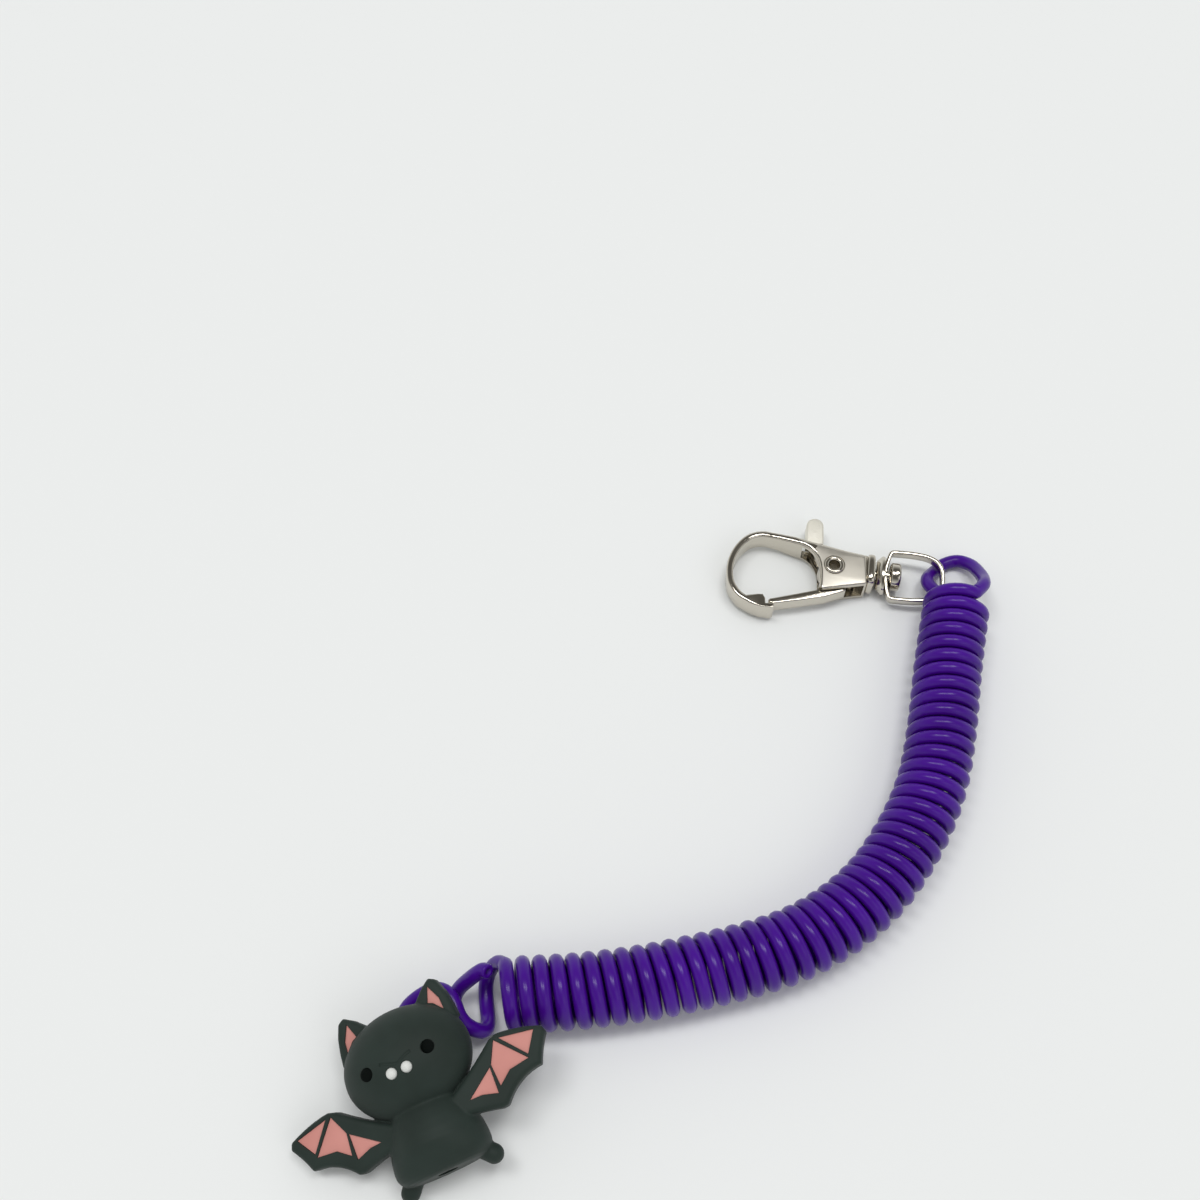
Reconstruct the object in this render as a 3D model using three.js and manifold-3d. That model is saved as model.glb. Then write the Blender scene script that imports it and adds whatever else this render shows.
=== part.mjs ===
// Knitting needle holder: a swivel clasp, a coiled cord and a bat-shaped stopper with a bore
// for a needle. Millimetres, +Z up. The layout is drawn on a bench frame whose origin lies on
// the table under the clasp's pivot rivet, and the finished group is moved so that the clasp
// and the bat stand centred over the origin.

import * as THREE from "three";
import { mergeVertices } from "three/addons/utils/BufferGeometryUtils.js";
import Module from "manifold-3d";

const wasm = await Module();
wasm.setup();

// Cord and coil
const CORD_DIAMETER = 1.85;
const COIL_DIAMETER = 12;
const COIL_TURNS = 45.25;
const COIL_START_ANGLE = 60;
const STEPS_PER_TURN = 8;
const CORD_SIDES = 5;
const COIL_HEIGHT = COIL_DIAMETER / 2;
const LOOP_STEP = 1.3;
const GAP_SAMPLES_PER_TURN = 32;
const GAP_LOOP_STEP = 0.4;

// Clasp casting, drawn from the pivot rivet: x towards the ring, y away from the gate
const CLASP_YAW = -8;
const BODY_THICKNESS = 5.7;
const BODY_EDGE = 0.25;
const HOOK_WALL = 1.25;
const HOOK_DEPTH = 4.2;
const HOOK_ROOT = -12;
const HOOK_SHOULDER = -6.5;
const HOOK_OUTER = [
  [-5.3, 5.0], [-7.5, 5.35], [-11.3, 6.0], [-13.8, 6.1], [-16.1, 5.2], [-17.6, 3.7],
  [-18.8, 1.6], [-19.5, -0.8], [-19.6, -3.2], [-19.0, -6.0], [-17.2, -8.4], [-14.8, -9.7],
];
const HOOK_TIP = [
  [-12.8, -10.2], [-10.7, -10.2], [-10.2, -9.8], [-10.6, -9.3], [-11.9, -9.3],
  [-12.0, -8.3], [-12.5, -7.5], [-13.4, -7.6],
];
const HOOK_INNER_GATE_SIDE = [
  [-7.4, 3.9], [-5.8, 3.5], [-4.3, 2.6], [-3.2, 1.1], [-2.6, -1.0], [-2.4, -4.6],
];
const BODY_BACK_BEND = [-1.1, 4.3];
const BODY_GATE_CORNER = [-1.8, -5.1];
const CHEEK_WALL = 1.05;
const SLOT_FRONT = 4.3;
const SLOT_BACK = -6.0;
const SLOT_SHOULDER = 2.6;
const SLOT_TOP_FRONT = 1.2;
const SLOT_TOP_SHOULDER = 3.2;
const NECK_END = 6.1;
const NECK_BACK = 3.2;
const NECK_GATE = -3.0;
const BEAD_LENGTH = 1.5;
const BEAD_HALF_WIDTH = 3.3;
const BEAD_SQUARENESS = 4;
const BEAD_EDGE = 0.3;
const SWIVEL_OFFSET = 0.6;

// Clearances
const CLEARANCE = 0.3;
// How far a cutting shape reaches past the face it cuts
const CUT_PAST = 1;

// Gate lever, its rivet and its spring
const BOSS_RADIUS = 2.75;
const GATE_TIP_REACH = 14.0;
const GATE_TIP_DROP = 8.2;
const GATE_TIP_TOP = [[0, -8.2], [0.5, -7.8]];
const GATE_TIP_UNDER = [[0.95, -8.9], [0.2, -8.8]];
const GATE_BAR = [[-2.7, -4.9], [-2.2, -1.4], [2.3, -1.2], [2.5, -4.4], [-1.2, -6.2]];
const GATE_ARM = [[-2.5, 0.9], [-4.6, 4.4], [-2.3, 5.2], [-0.6, 2.5]];
const GATE_EDGE = 0.3;
const TAB_WIDTH = 3.2;
const TAB_LENGTH = 5.9;
const TAB_CENTRE = -3.7;
const TAB_FOOT = 4.7;
const TAB_LEAN = -0.25;
const TAB_STEPS = 8;
const RIVET_BORE_RADIUS = 1.0;
const RIVET_BARREL_RADIUS = 1.3;
const RIVET_FLANGE_RADIUS = 1.85;
const RIVET_FLANGE_THICKNESS = 0.4;
const RIVET_ROLL_EDGE = 0.1;
const RIVET_ROLL_LIP = 0.25;
const SPRING_WIRE = 0.4;
const SPRING_PITCH = 0.85;
const SPRING_TURNS = 1.75;
const SPRING_ROOM = 2.0;
const SPRING_WALL = 0.4;
const SPRING_SEAT_GAP = 0.1;
const SPRING_BARREL_GAP = 0.15;

// Swivel rivet and ring, the ring drawn from the middle of its stamped base
const SWIVEL_SHAFT_RADIUS = 1.1;
const SWIVEL_FLANGE_RADIUS = 1.5;
const SWIVEL_FLANGE_THICKNESS = 0.7;
const SWIVEL_HEAD_RADIUS = 2.6;
const SWIVEL_HEAD_BACK_RADIUS = 1.5;
const SWIVEL_HEAD_TAPER = 0.5;
const SWIVEL_HEAD_LENGTH = 1.9;
const SWIVEL_HEAD_EDGE = 0.4;
const RING_GAP = 0.85;
const RING_BOSS_THICKNESS = 0.95;
const RING_BOSS_HALF_WIDTH = 3.75;
const RING_BOSS_HALF_DEPTH = 2.6;
const RING_STRIP = 0.8;
const RING_DEPTH = 2.15;
const RING_EDGE = 0.2;
const RING_BASE = [[0, 0], [0.12, 1.7], [0.5, 3.4], [0.85, 4.4], [1.3, 4.9], [2.3, 5.05]];
const RING_LEG = [[2.3, 5.05], [5.5, 5.0], [8.4, 4.55], [10.1, 3.6], [11.0, 2.2], [11.3, 0]];
const RING_LEG_STEPS = 12;
const RING_ROLL = 9;
const RING_PITCH = 3;

// Bat stopper, in its own frame: x to its left hand, y to its head, z out of its face
const BAT_ORIGIN = [-64.8, -103.13, -0.04];
const BAT_YAW = 23.4;
const BAT_TILT = 4.7;
const BAT_ROLL = -13;
const HEAD_RADII = [10.15, 8.2, 6.7];
const HEAD_CENTRE = [0, 15.9, 7.25];
const TORSO_RADIUS = 7.7;
const TORSO_HEIGHT = 14;
const TORSO_FOOT = -1;
const TORSO_FLATTENING = 0.83;
const TORSO_DEPTH_CENTRE = 6.5;
const BACK_PLANE = 0.8;
const FOOT_RADIUS = 1.5;
const FOOT_CENTRE = [7.1, -1.0, 5];
const NEEDLE_BORE_RADIUS = 1.6;
const NEEDLE_BORE_HEIGHT = 7.04;
const EAR_BACK = 4.9;
const EAR_THICKNESS = 3.2;
const EAR_OUTLINE = [
  [9.7, 19.2], [9.5, 21.3], [9.1, 23.5], [8.3, 25.6], [7.3, 26.2], [5.8, 25.2], [4.2, 23.6], [5.5, 18.0],
];
const EAR_PANEL = [[8.1, 20.9], [7.9, 22.6], [6.9, 24.8], [6.2, 22.7], [6.9, 22.4]];
const WING_FRONT = 10.2;
const WING_SWEEP = 5.7;
const WING_THICKNESS = 3.3;
const WING_ROOT_LOW = [4.6, 5.0];
const WING_HEEL = [11.5, 3.7];
const WING_HEEL_CORNER = [12.4, 3.8];
const WING_FINGER = [19.1, 7.2];
const WING_TIP = [21.45, 11.35];
const WING_TIP_CORNER = [21.1, 12.4];
const WING_KNUCKLE = [14.2, 14.1];
const WING_KNUCKLE_CORNER = [12.9, 13.65];
const WING_ROOT_HIGH = [4.6, 8.2];
const WING_ROOT_SAG = [0, 0.3];
const WING_WEB_SAG = [-0.7, 1.5];
const WING_END_SAG = [-0.4, 0];
const WING_TOP_SAG = [0, 0.6];
const WING_ARM_SAG = [0.2, -0.4];
const WING_PANELS = {
  outer: [[14.6, 13.2], [17.8, 9.4], [19.7, 12.2]],
  middle: [[13.7, 13.1], [12.15, 10.05], [12.4, 6.85], [14.4, 8.4], [17.5, 8.8]],
  inner: [[11.7, 9.7], [7.45, 6.7], [9.3, 6.7], [11.6, 6.0]],
};
const SOFT_EDGE = 0.6;
const INLAY_THICKNESS = 0.6;
const INLAY_DEPTH = 1.0;
const INLAY_GAP = 0.25;
const CORNER_REACH = 2.2;
const EYE_RADIUS = 1.0;
const EYE_PLACE = [5.0, 15.9];
const EYE_SINK = 0.1;
const FANG_RADIUS = 0.85;
const FANG_PLACE = [1.22, 14.4];
// An eye or a fang from its foot to its top: radius and height as shares of its radius
const BEAD_DEPTH = 0.8;
const BEAD_PROFILE = [[0, -BEAD_DEPTH], [1, -BEAD_DEPTH], [1, 0.2], [0.86, 0.5], [0.5, 0.78], [0, 0.86]];
const TETHER_WIRE = 0.7;
const TETHER_INNER_RADIUS = 1.4;
const TETHER_PLACE = [3.5, 20.5];
const TETHER_DROP = 2.35;
const TETHER_SEAT_RADIUS = 2.8;
const TETHER_SEAT_DEPTH = 0.15;
const TETHER_SHANK_RADIUS = 0.5;
const TETHER_SHANK_DEPTH = 2.4;

const degrees = THREE.MathUtils.degToRad;

// Materials
const metal = (colour, roughness) => () =>
  new THREE.MeshStandardMaterial({ color: colour, roughness, metalness: 1 });
const plastic = (colour, roughness) => () =>
  new THREE.MeshStandardMaterial({ color: colour, roughness, metalness: 0 });
const nickel = metal("#a9a49b", 0.2);
const springSteel = metal("#8d8b86", 0.35);
const purpleCord = plastic("#45207f", 0.3);
const charcoalSilicone = plastic("#2c3734", 0.75);
const pinkSilicone = plastic("#cd8f84", 0.75);
const blackSilicone = plastic("#0b1110", 0.6);
const whiteSilicone = plastic("#d4d6d2", 0.6);

// Solids and meshes
function solidOf(geometry) {
  const bare = geometry.clone();
  bare.deleteAttribute("normal");
  bare.deleteAttribute("uv");
  const merged = mergeVertices(bare, 1e-4);
  const index = merged.index.array;
  const triangles = [];
  for (let i = 0; i < index.length; i += 3) {
    const [a, b, c] = [index[i], index[i + 1], index[i + 2]];
    if (a !== b && b !== c && c !== a) triangles.push(a, b, c);
  }
  return new wasm.Manifold(new wasm.Mesh({
    numProp: 3,
    vertProperties: new Float32Array(merged.attributes.position.array),
    triVerts: new Uint32Array(triangles),
  }));
}

function geometryOf(solid) {
  const mesh = solid.getMesh();
  const geometry = new THREE.BufferGeometry();
  geometry.setAttribute("position", new THREE.BufferAttribute(mesh.vertProperties, 3));
  geometry.setIndex(new THREE.BufferAttribute(mesh.triVerts, 1));
  geometry.computeVertexNormals();
  return geometry;
}

function joined(solids) {
  return solids.reduce((whole, solid) => whole.add(solid));
}

function addPiece(parent, name, geometry, finish) {
  const mesh = new THREE.Mesh(geometry, finish());
  mesh.name = name;
  parent.add(mesh);
  return mesh;
}

// Outlines
function smooth(points, steps) {
  const curve = new THREE.SplineCurve(points.map(([x, y]) => new THREE.Vector2(x, y)));
  return curve.getSpacedPoints(steps).map((point) => [point.x, point.y]);
}

function beside(points, distance) {
  return points.map((point, i) => {
    const [ax, ay] = points[Math.max(i - 1, 0)];
    const [bx, by] = points[Math.min(i + 1, points.length - 1)];
    const length = Math.hypot(bx - ax, by - ay);
    return [point[0] - (distance * (by - ay)) / length, point[1] + (distance * (bx - ax)) / length];
  });
}

function prism(points, bottom, top, edge = 0, edgeSteps = 1) {
  const shape = new THREE.Shape(points.map(([x, y]) => new THREE.Vector2(x, y)));
  const geometry = new THREE.ExtrudeGeometry(shape, {
    depth: top - bottom - 2 * edge,
    bevelEnabled: edge > 0,
    bevelThickness: edge,
    bevelSize: edge,
    bevelOffset: -edge,
    bevelSegments: edgeSteps,
  });
  return geometry.translate(0, 0, bottom + edge);
}

function cylinderZ(radius, bottom, top, x = 0, y = 0, sides = 24) {
  return new THREE.CylinderGeometry(radius, radius, top - bottom, sides)
    .rotateX(Math.PI / 2)
    .translate(x, y, (bottom + top) / 2);
}

function cylinderX(radius, from, to, z, sides = 24) {
  return new THREE.CylinderGeometry(radius, radius, to - from, sides)
    .rotateZ(Math.PI / 2)
    .translate((from + to) / 2, 0, z);
}

function ellipsoid(radii, centre, sides, rings) {
  return new THREE.SphereGeometry(1, sides, rings).scale(...radii).translate(...centre);
}

// Closed tube of a few sides along a list of points
function tubeAlong(points, radius, sides) {
  const last = points.length - 1;
  const tangents = points.map((point, i) =>
    points[Math.min(i + 1, last)].clone().sub(points[Math.max(i - 1, 0)]).normalize());
  const normal = new THREE.Vector3(0, 0, 1).cross(tangents[0]).normalize();
  const positions = [];
  points.forEach((point, i) => {
    normal.addScaledVector(tangents[i], -normal.dot(tangents[i])).normalize();
    const across = tangents[i].clone().cross(normal);
    for (let side = 0; side < sides; side++) {
      const angle = (2 * Math.PI * side) / sides;
      const corner = point.clone()
        .addScaledVector(normal, radius * Math.cos(angle))
        .addScaledVector(across, radius * Math.sin(angle));
      positions.push(corner.x, corner.y, corner.z);
    }
  });
  const index = [];
  for (let i = 0; i < last; i++) {
    for (let side = 0; side < sides; side++) {
      const next = (side + 1) % sides;
      const [a, b] = [i * sides + side, i * sides + next];
      const [c, d] = [a + sides, b + sides];
      index.push(a, b, d, a, d, c);
    }
  }
  for (let side = 1; side < sides - 1; side++) {
    index.push(0, side + 1, side);
    index.push(last * sides, last * sides + side, last * sides + side + 1);
  }
  const geometry = new THREE.BufferGeometry();
  geometry.setAttribute("position", new THREE.Float32BufferAttribute(positions, 3));
  geometry.setIndex(index);
  geometry.computeVertexNormals();
  return geometry;
}

// The coil's centre line on the table, from the clasp end to the bat end
const COIL_ROUTE = [
  [21.5, -8.0], [18.3, -21.4], [15.9, -33.0], [13.0, -43.4], [8.0, -53.3],
  [0.4, -62.8], [-11.2, -70.5], [-31.2, -76.1], [-45.0, -78.2], [-57.85, -79.0],
];

// The loop at the clasp end, from the cut end inside the coil, through the ring, to the first turn
const CLASP_LOOP = [
  [20.9, -14.0, 6.1], [20.6, -11.2, 6.1], [20.0, -8.9, 6.1], [18.9, -7.0, 5.85],
  [17.85, -5.2, 5.25], [17.2, -3.4, 4.3], [17.3, -1.8, 3.4], [18.1, -0.4, 2.3],
  [19.4, 1.1, 1.3], [21.4, 2.8, 1.15], [23.9, 3.3, 1.5], [25.9, 1.9, 2.5],
  [26.8, -0.7, 4.2], [26.8, -3.5, 6.4], [25.9, -6.1, 8.8],
];

// The bat end: the opened last half turn, then over itself behind the ear, through the bat's
// eye from the far side, and under itself up to the other cut end
const BAT_LOOP = [
  [-59.5, -73.9, 6.0], [-60.9, -74.5, 3.2], [-61.5, -76.0, 1.7], [-61.5, -77.7, 1.25],
  [-61.3, -79.6, 1.2], [-61.0, -81.6, 1.6], [-61.0, -83.2, 2.7], [-61.6, -84.1, 4.0],
  [-62.8, -84.1, 5.1], [-64.2, -83.4, 5.9], [-65.2, -82.2, 6.4], [-65.8, -80.8, 6.7],
  [-66.6, -79.4, 6.85], [-67.9, -78.5, 6.8], [-69.5, -78.3, 6.5], [-70.9, -78.8, 6.0],
  [-72.3, -79.6, 5.4], [-73.6, -80.7, 4.5], [-74.2, -82.0, 3.5], [-73.4, -83.2, 2.6],
  [-71.7, -83.6, 2.25], [-69.8, -83.1, 2.25], [-68.3, -82.2, 2.3], [-67.2, -80.9, 2.6],
  [-66.6, -79.5, 3.2], [-66.0, -78.2, 4.1], [-65.2, -77.5, 5.3], [-63.8, -76.9, 7.3],
  [-62.4, -76.4, 9.1], [-61.4, -76.15, 10.0], [-60.55, -76.6, 10.6],
];

const coilRadius = (COIL_DIAMETER - CORD_DIAMETER) / 2;
const centreLine = new THREE.CatmullRomCurve3(
  COIL_ROUTE.map(([x, y]) => new THREE.Vector3(x, y, COIL_HEIGHT)), false, "centripetal");

function coilPoint(turn) {
  const along = THREE.MathUtils.clamp(turn / COIL_TURNS, 0, 1);
  const centre = centreLine.getPointAt(along);
  const forward = centreLine.getTangentAt(along);
  const side = new THREE.Vector3(-forward.y, forward.x, 0).normalize();
  const angle = degrees(COIL_START_ANGLE) + 2 * Math.PI * turn;
  return centre
    .addScaledVector(side, coilRadius * Math.cos(angle))
    .add(new THREE.Vector3(0, 0, coilRadius * Math.sin(angle)));
}

function loopPoints(points, step) {
  const curve = new THREE.CatmullRomCurve3(points, false, "centripetal");
  return curve.getSpacedPoints(Math.round(curve.getLength() / step));
}

function cordPoints(stepsPerTurn, loopStep) {
  const turns = [];
  for (let i = 0; i <= COIL_TURNS * stepsPerTurn; i++) turns.push(coilPoint(i / stepsPerTurn));
  const vectors = (list) => list.map((point) => new THREE.Vector3(...point));
  const start = loopPoints([...vectors(CLASP_LOOP), turns[0]], loopStep);
  const end = loopPoints([turns[turns.length - 1], ...vectors(BAT_LOOP)], loopStep);
  return [...start.slice(0, -1), ...turns, ...end.slice(1)];
}

function cordLength(points) {
  return points.slice(1).reduce((sum, point, i) => sum + point.distanceTo(points[i]), 0);
}

function leastGap(points) {
  const along = [0];
  points.slice(1).forEach((point, i) => along.push(along[i] + point.distanceTo(points[i])));
  const apart = 2.5 * CORD_DIAMETER;
  let least = Infinity;
  for (let i = 0; i < points.length; i++) {
    for (let j = i + 1; j < points.length; j++) {
      if (along[j] - along[i] < apart) continue;
      least = Math.min(least, points[i].distanceTo(points[j]));
    }
  }
  return least - CORD_DIAMETER;
}

function buildCord(parent) {
  const points = cordPoints(STEPS_PER_TURN, LOOP_STEP);
  const measured = cordPoints(GAP_SAMPLES_PER_TURN, GAP_LOOP_STEP);
  const gap = leastGap(measured);
  console.log(`coil: least gap to itself ${gap.toFixed(2)} mm, length ${cordLength(measured).toFixed(0)} mm`);
  addPiece(parent, "coil_cord", tubeAlong(points, CORD_DIAMETER / 2, CORD_SIDES), purpleCord);
}

// Clasp
const midHeight = BODY_THICKNESS / 2;
const beadEnd = NECK_END + BEAD_LENGTH;
const bossStart = beadEnd + RING_GAP;
const ringStart = bossStart + RING_BOSS_THICKNESS - RING_EDGE / 2;
const cheekTop = BODY_THICKNESS - CHEEK_WALL;
const boreRadius = RIVET_BARREL_RADIUS + CLEARANCE;

function claspOutline() {
  const outer = smooth(HOOK_OUTER, 30);
  const inner = beside(outer, HOOK_WALL).slice(5, -1).reverse();
  return [
    [NECK_END, NECK_BACK], BODY_BACK_BEND, ...outer, ...HOOK_TIP, ...inner,
    ...smooth(HOOK_INNER_GATE_SIDE, 9), BODY_GATE_CORNER, [NECK_END, NECK_GATE],
  ].reverse();
}

function sideProfile() {
  const step = (BODY_THICKNESS - HOOK_DEPTH) / 2;
  const [far, near] = [2 * HOOK_ROOT, 2 * NECK_END];
  const points = [
    [far, step], [HOOK_ROOT, step], [HOOK_SHOULDER, 0], [near, 0],
    [near, BODY_THICKNESS], [HOOK_SHOULDER, BODY_THICKNESS],
    [HOOK_ROOT, BODY_THICKNESS - step], [far, BODY_THICKNESS - step],
  ];
  return prism(points, far, -far).rotateX(Math.PI / 2);
}

// A rounded rectangle about the origin
function squareOval(halfWidth, halfHeight, squareness, steps) {
  const points = [];
  for (let i = 0; i < steps; i++) {
    const angle = (2 * Math.PI * i) / steps;
    const [c, s] = [Math.cos(angle), Math.sin(angle)];
    points.push([
      halfWidth * Math.sign(c) * Math.abs(c) ** (2 / squareness),
      halfHeight * Math.sign(s) * Math.abs(s) ** (2 / squareness),
    ]);
  }
  return points;
}

// A prism whose outline is drawn across and up, standing along x on the swivel's axis
function prismX(points, from, to, edge = 0) {
  return prism(points, from, to, edge).applyMatrix4(
    new THREE.Matrix4().makeBasis(
      new THREE.Vector3(0, 1, 0), new THREE.Vector3(0, 0, 1), new THREE.Vector3(1, 0, 0)));
}

function claspBody() {
  const outside = 2 * GATE_TIP_DROP;
  const casting = solidOf(prism(claspOutline(), 0, BODY_THICKNESS, BODY_EDGE))
    .intersect(solidOf(sideProfile()));
  const beadOutline = squareOval(BEAD_HALF_WIDTH, midHeight, BEAD_SQUARENESS, 32);
  const bead = solidOf(prismX(beadOutline, NECK_END - BEAD_EDGE, beadEnd, BEAD_EDGE)
    .translate(0, SWIVEL_OFFSET, midHeight));
  const slot = solidOf(prism([
    [SLOT_BACK, -outside], [SLOT_FRONT, -outside], [SLOT_FRONT, SLOT_SHOULDER],
    [SLOT_TOP_FRONT, SLOT_TOP_SHOULDER], [SLOT_TOP_FRONT, outside], [SLOT_BACK, outside],
  ], CHEEK_WALL, cheekTop));
  const recessRadius = RIVET_FLANGE_RADIUS + CLEARANCE;
  const shaftBoreRadius = SWIVEL_SHAFT_RADIUS + CLEARANCE;
  const shaftBore = cylinderX(shaftBoreRadius, SLOT_FRONT - CUT_PAST, beadEnd + CUT_PAST, midHeight)
    .translate(0, SWIVEL_OFFSET, 0);
  const cuts = joined([
    slot,
    solidOf(cylinderZ(boreRadius, -CUT_PAST, BODY_THICKNESS + CUT_PAST)),
    solidOf(cylinderZ(recessRadius, -CUT_PAST, RIVET_FLANGE_THICKNESS + CLEARANCE)),
    solidOf(cylinderZ(recessRadius, BODY_THICKNESS - RIVET_FLANGE_THICKNESS, BODY_THICKNESS + CUT_PAST)),
    solidOf(shaftBore),
  ]);
  return geometryOf(casting.add(bead).subtract(cuts));
}

function pivotRivet() {
  const top = BODY_THICKNESS - RIVET_FLANGE_THICKNESS + CLEARANCE;
  const profile = [
    [RIVET_BORE_RADIUS, 0], [RIVET_FLANGE_RADIUS, 0],
    [RIVET_FLANGE_RADIUS, RIVET_FLANGE_THICKNESS], [RIVET_BARREL_RADIUS, RIVET_FLANGE_THICKNESS],
    [RIVET_BARREL_RADIUS, top], [RIVET_FLANGE_RADIUS, top],
    [RIVET_FLANGE_RADIUS - RIVET_ROLL_EDGE, top + RIVET_FLANGE_THICKNESS * 0.7],
    [RIVET_BORE_RADIUS + RIVET_ROLL_LIP, top + RIVET_FLANGE_THICKNESS],
    [RIVET_BORE_RADIUS, top + RIVET_FLANGE_THICKNESS / 2],
    [RIVET_BORE_RADIUS, 0],
  ].map(([x, y]) => new THREE.Vector2(x, y));
  return geometryOf(solidOf(new THREE.LatheGeometry(profile, 24).rotateX(Math.PI / 2)));
}

function gateLever() {
  const bottom = CHEEK_WALL + CLEARANCE;
  const top = cheekTop - CLEARANCE;
  const tip = -Math.sqrt(GATE_TIP_REACH ** 2 - GATE_TIP_DROP ** 2);
  const fromTip = (points) => points.map(([x, y]) => [tip + x, y]);
  const bar = prism(
    [...fromTip(GATE_TIP_TOP), ...GATE_BAR, ...fromTip(GATE_TIP_UNDER)].reverse(), bottom, top, GATE_EDGE);
  const arm = prism([...GATE_ARM].reverse(), bottom, top);
  const tabRadius = TAB_WIDTH / 2;
  const tabOutline = [[TAB_CENTRE - tabRadius, TAB_FOOT], [TAB_CENTRE + tabRadius, TAB_FOOT]];
  for (let i = 0; i <= TAB_STEPS; i++) {
    const angle = (Math.PI * i) / TAB_STEPS;
    tabOutline.push([
      TAB_CENTRE + TAB_LEAN + tabRadius * Math.cos(angle),
      TAB_FOOT + TAB_LENGTH - tabRadius + tabRadius * Math.sin(angle),
    ]);
  }
  const whole = joined([
    solidOf(cylinderZ(BOSS_RADIUS, bottom, top)),
    solidOf(bar), solidOf(arm), solidOf(prism(tabOutline, bottom, top, GATE_EDGE)),
  ]);
  return geometryOf(whole
    .subtract(solidOf(cylinderZ(boreRadius, 0, BODY_THICKNESS)))
    .subtract(solidOf(cylinderZ(BOSS_RADIUS - SPRING_WALL, top - SPRING_ROOM, BODY_THICKNESS))));
}

function leverSpring() {
  const radius = boreRadius + SPRING_BARREL_GAP + SPRING_WIRE / 2;
  const bottom = cheekTop - CLEARANCE - SPRING_ROOM + SPRING_SEAT_GAP + SPRING_WIRE / 2;
  const points = [];
  const steps = Math.round(SPRING_TURNS * 14);
  for (let i = 0; i <= steps; i++) {
    const turn = (SPRING_TURNS * i) / steps;
    const angle = 2 * Math.PI * turn;
    points.push(new THREE.Vector3(
      radius * Math.cos(angle), radius * Math.sin(angle), bottom + SPRING_PITCH * turn));
  }
  return tubeAlong(points, SPRING_WIRE / 2, 6);
}

function swivelRivet() {
  const back = SLOT_FRONT - CLEARANCE - SWIVEL_FLANGE_THICKNESS;
  const headStart = ringStart + RING_STRIP + CLEARANCE;
  const headEnd = headStart + SWIVEL_HEAD_LENGTH;
  const profile = [
    [0, back], [SWIVEL_FLANGE_RADIUS, back],
    [SWIVEL_FLANGE_RADIUS, back + SWIVEL_FLANGE_THICKNESS],
    [SWIVEL_SHAFT_RADIUS, back + SWIVEL_FLANGE_THICKNESS],
    [SWIVEL_SHAFT_RADIUS, headStart], [SWIVEL_HEAD_BACK_RADIUS, headStart],
    [SWIVEL_HEAD_RADIUS, headStart + SWIVEL_HEAD_TAPER],
    [SWIVEL_HEAD_RADIUS, headEnd - SWIVEL_HEAD_EDGE],
    [SWIVEL_HEAD_RADIUS - SWIVEL_HEAD_EDGE, headEnd], [0, headEnd],
  ].map(([x, y]) => new THREE.Vector2(x, y));
  const lathe = new THREE.LatheGeometry(profile, 24)
    .rotateZ(-Math.PI / 2)
    .translate(0, SWIVEL_OFFSET, midHeight);
  return geometryOf(solidOf(lathe));
}

// The strip's outer face on the far side, from the middle of the base to the middle of the end
function ringFace() {
  return [...smooth(RING_BASE, 8).slice(0, -1), ...smooth(RING_LEG, RING_LEG_STEPS)];
}

function ringOutline(inset) {
  const face = ringFace();
  const moved = beside(face, -inset);
  moved[0] = [face[0][0] + inset, 0];
  moved[moved.length - 1] = [face[face.length - 1][0] - inset, 0];
  return [...moved, ...moved.slice(1, -1).map(([x, y]) => [x, -y]).reverse()].reverse();
}

function swivelRing() {
  const half = RING_DEPTH / 2;
  const strip = solidOf(prism(ringOutline(0), -half, half, RING_EDGE))
    .subtract(solidOf(prism(ringOutline(RING_STRIP), -BODY_THICKNESS, BODY_THICKNESS)));
  const bossOutline = squareOval(RING_BOSS_HALF_WIDTH, RING_BOSS_HALF_DEPTH, 2, 28);
  const boss = solidOf(prismX(bossOutline, bossStart - ringStart, RING_STRIP / 2, RING_EDGE));
  const hole = solidOf(cylinderX(
    SWIVEL_SHAFT_RADIUS + CLEARANCE, bossStart - ringStart - 1, RING_STRIP + 1, 0));
  return geometryOf(strip.add(boss).subtract(hole))
    .rotateX(degrees(RING_ROLL))
    .rotateY(degrees(-RING_PITCH))
    .translate(ringStart, SWIVEL_OFFSET, midHeight);
}

function buildClasp(parent) {
  const clasp = new THREE.Group();
  clasp.rotation.z = degrees(CLASP_YAW);
  addPiece(clasp, "clasp_body", claspBody(), nickel);
  addPiece(clasp, "pivot_rivet", pivotRivet(), nickel);
  addPiece(clasp, "gate_lever", gateLever(), nickel);
  addPiece(clasp, "lever_spring", leverSpring(), springSteel);
  addPiece(clasp, "swivel_rivet", swivelRivet(), nickel);
  addPiece(clasp, "swivel_ring", swivelRing(), nickel);
  parent.add(clasp);
  return clasp;
}

// Bat stopper
const mirrored = (points) => points.map(([x, y]) => [-x, y]).reverse();
const sideOf = (points, hand) => (hand > 0 ? points : mirrored(points));

function torsoOutline() {
  const shares = [
    [0, 0], [0.74, 0], [0.92, 0.055], [1, 0.155], [0.975, 0.32], [0.87, 0.535],
    [0.69, 0.75], [0.4, 0.93], [0, 1],
  ];
  return shares.map(([r, h]) => new THREE.Vector2(TORSO_RADIUS * r, TORSO_HEIGHT * h + TORSO_FOOT));
}

function bowBetween(from, to, sag, steps) {
  const middle = [(from[0] + to[0]) / 2 + sag[0], (from[1] + to[1]) / 2 + sag[1]];
  const curve = new THREE.QuadraticBezierCurve(
    new THREE.Vector2(...from), new THREE.Vector2(...middle), new THREE.Vector2(...to));
  return curve.getPoints(steps).map((point) => [point.x, point.y]).slice(0, -1);
}

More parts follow.
